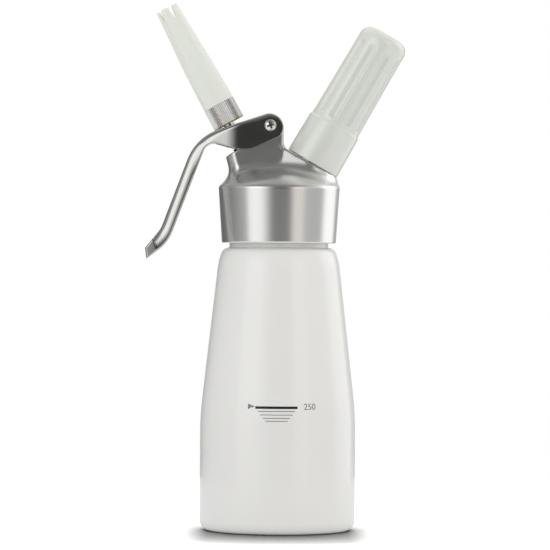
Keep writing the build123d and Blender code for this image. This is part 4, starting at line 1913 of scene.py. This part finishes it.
@dataclass
class Nozzle:
    """The plastic nozzle with its notched tip, drawn along the valve axis."""

    shop: Workshop
    spigot_foot: float = 6.7
    foot: float = 10.5
    middle: float = 35.0
    tip: float = 64.2
    spigot_radius: float = 5.75
    foot_radius: float = 7.9
    middle_radius: float = 7.3
    tip_radius: float = 5.6
    bore_foot: float = 3.2
    bore_tip: float = 4.3
    collar: float = 2.0
    collar_taper: float = 0.1
    foot_rounds: tuple[float, ...] = (0.3, 0.0, 0.35)
    arc_step: float = 15.0
    side_rows: int = 24
    tip_rows: int = 14
    lip_outside: float = 0.3
    lip_inside: float = 0.4
    outer_lip: tuple[Point, ...] = ((0.12, 0.08), (0.4, 0.0))
    inner_lip: tuple[Point, ...] = ((0.3, 0.0), (0.05, 0.15))
    teeth: int = 5
    tooth_turn: float = 18.0
    notch_half: float = 1.3
    notch_floor_half: float = 0.4
    notch_depth: float = 6.2
    root_lead: float = 1.5
    crown_width: float = 1.1
    crown_soft: float = 0.1
    crown_drop: float = 0.5
    flute_half: float = 1.7
    flute_depth: float = 0.45
    flute_span: Point = (6.0, 34.0)
    wall_least: float = 0.8
    steps: int = 240
    sharp: float = 40.0

    @property
    def root(self) -> float:
        """Height under the notches, from which the tip is lowered into them."""
        return self.tip - self.notch_depth - self.root_lead

    def outline(self) -> list[Point]:
        """Closed section of the nozzle, with many rows near the tip.

        Returns:
            Points of (radius, height).
        """
        low = self.foot + self.collar
        corners = [
            (self.bore_foot, self.spigot_foot),
            (self.spigot_radius, self.spigot_foot),
            (self.spigot_radius, self.foot),
            (self.foot_radius, self.foot),
            (self.foot_radius - self.collar_taper, low),
        ]
        section = rounded(corners, self.foot_rounds, self.arc_step)
        rows = spread(low, self.root, self.side_rows)[1:-1]
        rows += spread(self.root, self.tip - self.lip_outside, self.tip_rows)
        section += [(self.radius(z), z) for z in rows]
        section += [(self.tip_radius - inset, self.tip - drop) for inset, drop in self.outer_lip]
        section += [(self.bore_tip + inset, self.tip - drop) for inset, drop in self.inner_lip]
        section += [(self.bore(z), z) for z in spread(self.tip - self.lip_inside, self.root, self.tip_rows)]
        return section

    def radius(self, height: float) -> float:
        """Outer radius, which tapers faster above the middle.

        Args:
            height: Distance along the axis.

        Returns:
            The radius there.
        """
        if height < self.middle:
            share = (height - self.foot) / (self.middle - self.foot)
            return mix(self.foot_radius, self.middle_radius, share)
        return mix(self.middle_radius, self.tip_radius, (height - self.middle) / (self.tip - self.middle))

    def bore(self, height: float) -> float:
        """Bore radius at a height."""
        share = (height - self.spigot_foot) / (self.tip - self.spigot_foot)
        return mix(self.bore_foot, self.bore_tip, share)

    def notched(self, place: Vector) -> Vector:
        """Lower the tip into notches between rounded teeth and press the flutes in.

        Args:
            place: A point of the turned nozzle.

        Returns:
            Where it goes.
        """
        root = self.root
        away = abs(from_nearest(place, self.teeth, self.tooth_turn)) * self.tip_radius
        height, push = place.z, 0.0
        radius = hypot(place.x, place.y)
        if height > root:
            slope = (away - self.notch_floor_half) / (self.notch_half - self.notch_floor_half)
            flank = self.notch_depth * min(max(slope, 0.0), 1.0)
            crown = soft_ramp(self.notch_half + self.crown_width - away, self.crown_soft)
            drop = self.crown_drop * min(crown, self.crown_width) ** 2 * (slope > 1)
            top = self.tip - self.notch_depth + flank - drop
            height = root + (height - root) * (top - root) / (self.tip - root)
        if radius > self.bore(place.z) + self.wall_least:
            press = max(0.0, 1 - (away / self.flute_half) ** 2)
            start, end = self.flute_span
            push = self.flute_depth * press * blend(self.foot + start, self.foot + end, place.z)
        return Vector((place.x * (radius - push) / radius, place.y * (radius - push) / radius, height))

    def build(self, plastic: Moulded, ring: PlatedRing) -> None:
        """Model the nozzle and dress it and its ring.

        Args:
            plastic: Finish of the nozzle.
            ring: Finish of the knurled ring.
        """
        shape = Shape.turned(self.outline(), self.steps).moved(self.notched)
        piece = shape.placed(self.shop.valve.matrix).as_object("nozzle_tube", self.sharp)
        self.shop.hand_over(piece, "nozzle", "nozzle_plastic", plastic.make(), "nozzle")
        self.shop.dress("nozzle_ring", ring.make())


@dataclass
class ChargerHolder:
    """The plastic cap over the gas charger, with finger grooves, drawn along the charger axis."""

    shop: Workshop
    bore: float = 11.2
    foot: float = 0.3
    foot_radius: float = 13.75
    skirt_end: float = 21.3
    skirt_radius: float = 13.45
    grip_foot: float = 22.3
    grip_radius: float = 12.8
    end: float = 72.9
    end_radius: float = 12.24
    end_round: float = 5.0
    bore_end: float = 15.6
    charger_bore: float = 9.3
    floor: float = 71.1
    corner_rounds: tuple[float, ...] = (1.5, 0.3, 0.0, 0.2, 0.5, 0.7, 0.5)
    arc_step: float = 12.0
    dome_step: float = 6.0
    grooves: int = 10
    groove_turn: float = 22.0
    groove_radius: float = 2.9
    groove_depth: float = 1.0
    groove_soft: float = 0.2
    groove_start: float = 24.6
    groove_end: float = 66.0
    groove_rise: Point = (-0.6, 0.4)
    groove_fall: float = 3.5
    groove_least: Point = (0.5, 1.5)
    first_rows: Point = (-1.2, 1.2)
    middle_rows: Point = (2.0, -6.0)
    last_rows: Point = (-5.5, -0.5)
    row_steps: tuple[int, ...] = (12, 16, 10)
    steps: int = 240
    sharp: float = 40.0

    def rows(self) -> list[float]:
        """Rows of the grip, close together where the grooves begin and end.

        Returns:
            Their heights, from the foot up.
        """
        start, end = self.groove_start, self.groove_end
        first, middle, last = self.row_steps
        heights = spread(start + self.first_rows[0], start + self.first_rows[1], first)
        heights += spread(start + self.middle_rows[0], end + self.middle_rows[1], middle)
        return heights + spread(end + self.last_rows[0], end + self.last_rows[1], last)

    def outline(self) -> list[Point]:
        """Section of the cap, from the axis inside to the axis outside.

        Returns:
            Points of (radius, height).
        """
        grip = [(self.grip(z), z) for z in self.rows()]
        corners = [
            (0.0, self.floor),
            (self.charger_bore, self.floor),
            (self.charger_bore, self.bore_end),
            (self.bore, self.bore_end),
            (self.bore, self.foot),
            (self.foot_radius, self.foot),
            (self.skirt_radius, self.skirt_end),
            (self.grip_radius, self.grip_foot),
            grip[0],
        ]
        dome = [(self.grip(self.groove_end), self.groove_end), (self.end_radius, self.end), (0.0, self.end)]
        section = rounded(corners, self.corner_rounds, self.arc_step) + grip[1:]
        return section + rounded(dome, (self.end_round,), self.dome_step)[1:]

    def grip(self, height: float) -> float:
        """Radius of the grip at a height."""
        share = (height - self.grip_foot) / (self.end - self.grip_foot)
        return mix(self.grip_radius, self.end_radius, share)

    def grooved(self, place: Vector) -> Vector:
        """Press the finger grooves into the grip.

        Args:
            place: A point of the turned cap.

        Returns:
            Where it goes.
        """
        radius = hypot(place.x, place.y)
        wall, lead = self.groove_least
        if radius < self.charger_bore + wall or place.z < self.groove_start - lead:
            return place
        away = from_nearest(place, self.grooves, self.groove_turn) * radius
        inside = max(self.groove_radius**2 - away**2, 0.0)
        press = soft_ramp(sqrt(inside) - (self.groove_radius - self.groove_depth), self.groove_soft)
        rise, level = self.groove_rise
        press *= blend(self.groove_start + rise, self.groove_start + level, place.z)
        press *= 1 - blend(self.groove_end - self.groove_fall, self.groove_end, place.z)
        return Vector((place.x * (radius - press) / radius, place.y * (radius - press) / radius, place.z))

    def build(self, plastic: Moulded) -> None:
        """Model the cap and dress it.

        Args:
            plastic: The cap's finish.
        """
        shape = Shape.turned(self.outline(), self.steps).moved(self.grooved)
        piece = shape.placed(self.shop.charger.matrix).as_object("holder_cap", self.sharp)
        self.shop.hand_over(piece, "charger_holder", "holder_plastic", plastic.make(), "charger_holder")


@dataclass
class InnerPieces:
    """The small pieces: valve, seals, pivot, gas charger and its pin."""

    shop: Workshop
    spring_seat: float = -18.0
    spring_top: float = -7.65
    spring_radius: float = 4.1
    wire: float = 0.45
    turns: int = 5
    turn_steps: int = 40
    face_gap: float = 0.05
    stem_travel: float = 3.124
    sharp: float = 60.0
    cap: tuple[Point, ...] = (
        (3.05, -7.65),
        (5.4, -7.65),
        (5.4, -10.2),
        (6.4, -10.2),
        (6.4, -5.65),
        (3.05, -5.65),
    )
    cap_steps: int = 96
    steel: Colour = (0.72, 0.71, 0.69)
    brass: Colour = (0.72, 0.56, 0.3)

    def spring(self, finish: Metal) -> None:
        """Wind the valve spring between its seat and its cap.

        Args:
            finish: Finish of its wire.
        """
        inset = self.wire + self.face_gap
        free = self.spring_top - self.spring_seat
        frame = self.shop.valve
        shape = Shape.coil(self.spring_radius, self.wire, free - 2 * inset, self.turns, self.turn_steps)
        lift = Matrix.Translation((0, 0, self.spring_seat + inset))
        piece = shape.placed(frame.matrix @ lift).as_object("spring_coil", self.sharp)
        self.shop.hand_over(piece, "head", "spring_steel", finish.make(), "valve_spring")
        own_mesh(piece)

    def build(self) -> None:
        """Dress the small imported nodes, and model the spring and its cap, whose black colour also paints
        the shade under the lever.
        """
        valve, charger, lever = self.shop.valve, self.shop.charger, self.shop.lever
        turned, drawn = Grain.TURNED, Grain.DRAWN
        screw = Metal("nut_steel", (0.78, 0.76, 0.72), 0.16, Grain.POLISHED, lever).make()
        stem = Metal("stem_steel", self.steel, 0.2, turned, valve, pitch=0.2).make()
        valve_brass = Metal("valve_brass", self.brass, 0.28, turned, valve, pitch=0.2).make()
        turned_brass = Metal("turned_brass", self.brass, 0.28, turned, charger, pitch=0.2).make()
        needle = Metal("needle_steel", self.steel, 0.2, drawn, charger, pitch=0.2).make()
        bulb = Metal("bulb_steel", (0.62, 0.62, 0.63), 0.3, drawn, charger, pitch=0.3).make()
        black = Moulded("black_plastic", (0.03, 0.03, 0.032), roughness=0.4).make()
        grey = Rubber("grey_rubber", (0.42, 0.42, 0.43)).make()
        dark = Rubber("black_rubber", (0.03, 0.03, 0.03)).make()
        wanted = {
            screw: ("pivot_nut",),
            stem: ("valve_stem",),
            valve_brass: ("valve_guide", "poppet", "poppet_nut"),
            turned_brass: ("pin_housing",),
            needle: ("piercing_pin",),
            bulb: ("gas_charger",),
            black: ("pivot_washers",),
            grey: ("head_gasket", "nozzle_washer"),
            dark: ("stem_o_ring", "poppet_seal", "charger_seal", "check_valve"),
        }
        for material, nodes in wanted.items():
            for node in nodes:
                self.shop.dress(node, material)
        # The spring cap is a real part drawn in black plastic; its dark rim just under the lever also stands
        # in for the shade there, as painted shade.
        cap_and_painted_shade = Shape.turned(self.cap, self.cap_steps).placed(valve.matrix).as_object("cap_disc_painted_shade")
        self.shop.hand_over(cap_and_painted_shade, "valve_stem", "black_plastic", black, "spring_cap")
        self.spring(Metal("spring_wire", (0.55, 0.55, 0.56), 0.25, drawn, valve, pitch=0.2))


@dataclass(frozen=True)
class Panel:
    """One edge of a studio panel as a shiny surface sees it, by its bearing from the camera side."""

    bearing: float
    level: float
    tint: Colour = (1.0, 1.0, 1.0)

    @property
    def colour(self) -> Colour:
        """Its tint at its level, which may pass 1."""
        return tuple(part * self.level for part in self.tint)


@dataclass
class Studio:
    """White studio: camera, soft light, the panels that metal reflects, and the floor."""

    eye: Point = (-1.77, 139.65)
    distance: float = 1837.5
    pitch: float = 0.458
    roll: float = 0.37
    lens: float = 245.45
    sensor: float = 36.0
    clip: Point = (0.05, 50.0)
    soft_light: float = 1.12
    panel_share: float = 0.3
    upper_gain: float = 1.45
    upper_band: Point = (0.05, 0.2)
    high_band: Point = (0.45, 0.62)
    zenith: float = 0.30
    zenith_band: Point = (0.92, 0.99)
    table_level: float = 0.8
    table_band: Point = (-0.28, -0.16)
    table_front: Point = (0.25, 0.45)
    lamp_size: float = 1.1
    lamp_power: float = 5.0
    lamp_place: Size = (-0.15, 0.1, 1.7)
    floor_radius: float = 420.0
    floor_sides: int = 96
    floor_tone: float = 0.85
    floor_seen: float = 1.2
    floor_roughness: float = 0.7
    # The shade_ settings draw the shadow painted into the floor's colour.
    shade_reach: float = 60.0
    shade_samples: int = 8
    shade_from: Size = (0.0, 0.8, 0.6)
    shade_power: float = 2.6
    shade_sides: Point = (34.0, 45.0)
    panels: tuple[Panel, ...] = (
        Panel(-180, 0.60),
        Panel(-168, 0.60),
        Panel(-164, 0.13),
        Panel(-118, 0.17),
        Panel(-65, 0.42),
        Panel(-62, 1.15),
        Panel(-34, 1.15),
        Panel(-24, 0.62),
        Panel(-15, 0.13),
        Panel(-10, 0.055),
        Panel(12, 0.055),
        Panel(23, 0.10),
        Panel(27, 0.85, (1.0, 0.94, 0.86)),
        Panel(47, 0.85, (1.0, 0.94, 0.86)),
        Panel(52, 0.47),
        Panel(92, 0.47),
        Panel(101, 1.25),
        Panel(137, 1.25),
        Panel(143, 0.32),
        Panel(180, 0.60),
    )
    high_panels: tuple[Panel, ...] = (
        Panel(-180, 0.60),
        Panel(-140, 0.62),
        Panel(-110, 0.42),
        Panel(-70, 0.26),
        Panel(-30, 0.18),
        Panel(40, 0.18),
        Panel(70, 0.40),
        Panel(105, 0.85),
        Panel(150, 0.90, (1.0, 0.96, 0.88)),
        Panel(180, 0.60),
    )

    def camera(self) -> None:
        """Stand the camera where the photograph was taken from."""
        data = bpy.data.cameras.new("camera")
        data.lens = self.lens
        data.sensor_width = self.sensor
        data.clip_start, data.clip_end = self.clip
        camera = bpy.data.objects.new("camera", data)
        level = Matrix.Rotation(pi / 2 - radians(self.pitch), 4, "X")
        turn = level @ Matrix.Rotation(radians(self.roll), 4, "Z")
        place = Vector((self.eye[0], -self.distance, self.eye[1])) * MM
        camera.matrix_world = Matrix.Translation(place) @ turn
        bpy.context.scene.collection.objects.link(camera)
        bpy.context.scene.camera = camera

    def world(self) -> None:
        """Light the room: white to the camera, panels to shiny surfaces, a softer mix to the rest."""
        world = bpy.data.worlds.new("studio")
        world.use_nodes = True
        bpy.context.scene.world = world
        sheet = NodeSheet(world.node_tree)
        room = self.room(sheet)
        rays = sheet.add("ShaderNodeLightPath").outputs
        shiny = sheet.maths("MAXIMUM", rays["Is Glossy Ray"], rays["Is Transmission Ray"])
        soft = sheet.mixed(self.panel_share, (self.soft_light,) * 3, room)
        seen = sheet.mixed(shiny, soft, room)
        seen = sheet.mixed(rays["Is Camera Ray"], seen, (1.0, 1.0, 1.0))
        light = sheet.add("ShaderNodeBackground")
        sheet.feed(light.inputs["Color"], seen)
        output = sheet.add("ShaderNodeOutputWorld")
        sheet.feed(output.inputs[0], light.outputs[0])

    def room(self, sheet: NodeSheet) -> Socket:
        """Colour of the room in every direction: two rows of panels, the zenith and the table.

        Args:
            sheet: The world's nodes.

        Returns:
            The colour.
        """
        toward = sheet.parts(sheet.add("ShaderNodeTexCoord").outputs["Generated"])
        height = toward["Z"]
        bearing = sheet.maths("ARCTAN2", toward["X"], sheet.maths("MULTIPLY", toward["Y"], -1.0))
        share = sheet.between(bearing, 0.0, 1.0, (-pi, pi))
        gain = sheet.add("ShaderNodeVectorMath", operation="SCALE")
        sheet.feed(gain.inputs[0], self.row(sheet, share, self.panels))
        sheet.feed(gain.inputs["Scale"], sheet.between(height, 1.0, self.upper_gain, self.upper_band))
        high = sheet.between(height, 0.0, 1.0, self.high_band)
        room = sheet.mixed(high, gain.outputs[0], self.row(sheet, share, self.high_panels))
        room = sheet.mixed(sheet.between(height, 0.0, 1.0, self.zenith_band), room, (self.zenith,) * 3)
        front = sheet.between(toward["Y"], 1.0, 0.0, self.table_front)
        table = sheet.maths("MULTIPLY", sheet.between(height, 1.0, 0.0, self.table_band), front)
        return sheet.mixed(table, room, (self.table_level,) * 3)

    def row(self, sheet: NodeSheet, share: Socket, panels: Sequence[Panel]) -> Socket:
        """Colour of one row of panels all round the object.

        Args:
            sheet: The world's nodes.
            share: Bearing as a share of the full circle.
            panels: The row's panel edges, in order.

        Returns:
            The row's colour.
        """
        ramp = sheet.add("ShaderNodeValToRGB")
        sheet.feed(ramp.inputs[0], share)
        stops = ramp.color_ramp.elements
        for i, panel in enumerate(panels):
            place = panel.bearing / 360 + 0.5
            stop = stops[i] if i < 2 else stops.new(place)
            stop.position = place
            stop.color = (*panel.colour, 1.0)
        return ramp.outputs[0]

    def lamps(self) -> None:
        """Hang one large soft lamp over the object."""
        data = bpy.data.lights.new("soft_lamp", "AREA")
        data.shape = "DISK"
        data.size = self.lamp_size
        data.energy = self.lamp_power
        lamp = bpy.data.objects.new("soft_lamp", data)
        place = Vector(self.lamp_place)
        turn = (-place).to_track_quat("-Z", "Y").to_matrix().to_4x4()
        lamp.matrix_world = Matrix.Translation(place) @ turn
        lamp.visible_glossy = False
        bpy.context.scene.collection.objects.link(lamp)

    def floor(self) -> None:
        """Lay a round white floor, with the object's shadow painted into the colour that the camera sees."""
        shape = Shape()
        bmesh.ops.create_circle(shape.bm, cap_ends=True, segments=self.floor_sides, radius=self.floor_radius)
        floor = shape.placed(Matrix.Scale(MM, 4)).as_object("floor")
        surface = Surface("white_floor")
        rays = surface.add("ShaderNodeLightPath").outputs
        # Camera rays see the floor's colour with the painted shadow in it; other rays see the plain floor
        # tone.
        seen = surface.maths("MULTIPLY", self.painted_floor_shadow(surface), self.floor_seen)
        tone = surface.mixed(rays["Is Camera Ray"], (self.floor_tone,) * 3, seen)
        floor.data.materials.append(surface.finished(base_color=tone, roughness=self.floor_roughness))

    def painted_floor_shadow(self, surface: Surface) -> Socket:
        """Shadow painted into the floor's colour beside the object.

        Args:
            surface: The floor's material.

        Returns:
            A share from 0 in full shade to 1 in the open.
        """
        nearby = surface.add("ShaderNodeAmbientOcclusion", samples=self.shade_samples)
        surface.feed(nearby.inputs["Distance"], self.shade_reach * MM)
        lean = surface.add("ShaderNodeCombineXYZ")
        for socket, part in zip(lean.inputs, self.shade_from):
            surface.feed(socket, part)
        surface.feed(nearby.inputs["Normal"], lean.outputs[0])
        # The painted shadow is kept within the bottle's width, fading out between the two side limits.
        aside = surface.maths("ABSOLUTE", surface.parts(surface.place())["X"])
        inner, outer = self.shade_sides
        under = surface.between(aside, 1.0, 0.0, (inner * MM, outer * MM))
        dark = surface.maths("MULTIPLY", surface.maths("SUBTRACT", 1.0, nearby.outputs["AO"]), under)
        return surface.maths("POWER", surface.maths("SUBTRACT", 1.0, dark), self.shade_power)

    def build(self) -> None:
        """Set up the whole studio."""
        bpy.context.scene.view_settings.view_transform = "Standard"
        self.camera()
        self.world()
        self.lamps()
        self.floor()


def main() -> None:
    """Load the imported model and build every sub-assembly."""
    logging.basicConfig(level=logging.INFO, format="%(message)s")
    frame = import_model()
    shop = Workshop(frame)
    white = Lacquer("white_lacquer", (0.80, 0.795, 0.775))
    black = Ink("black_ink", (0.006, 0.006, 0.006))
    grey = Ink("grey_ink", (0.16, 0.16, 0.165))
    Bottle(shop).build(white, black, grey)
    head = Head(shop)
    edge = head.skirt_top[1] - head.roof_edge
    head.build(CastAluminium("cast_aluminium", (0.78, 0.78, 0.77), edge, shop.upright))
    polish = {"grain": Grain.POLISHED, "frame": shop.lever, "strength": 0.02, "spread": 0.03}
    Lever(shop).build(Metal("lever_steel", (0.50, 0.505, 0.48), roughness=0.13, pitch=0.35, **polish))
    PivotScrew(shop).build(Metal("screw_steel", (0.78, 0.76, 0.71), roughness=0.14, pitch=0.3, **polish))
    pale = Moulded("nozzle_plastic", (0.765, 0.785, 0.72), roughness=0.45, translucency=0.25)
    ring = PlatedRing("plated_ring", (0.76, 0.76, 0.735), (0.5, 0.42, 0.22), shop.valve)
    Nozzle(shop).build(pale, ring)
    glossy = Moulded("holder_plastic", (0.68, 0.70, 0.645), roughness=0.16, translucency=0.08, shine=1.0)
    ChargerHolder(shop).build(glossy)
    InnerPieces(shop).build()
    Studio().build()


if __name__ == "__main__":
    main()
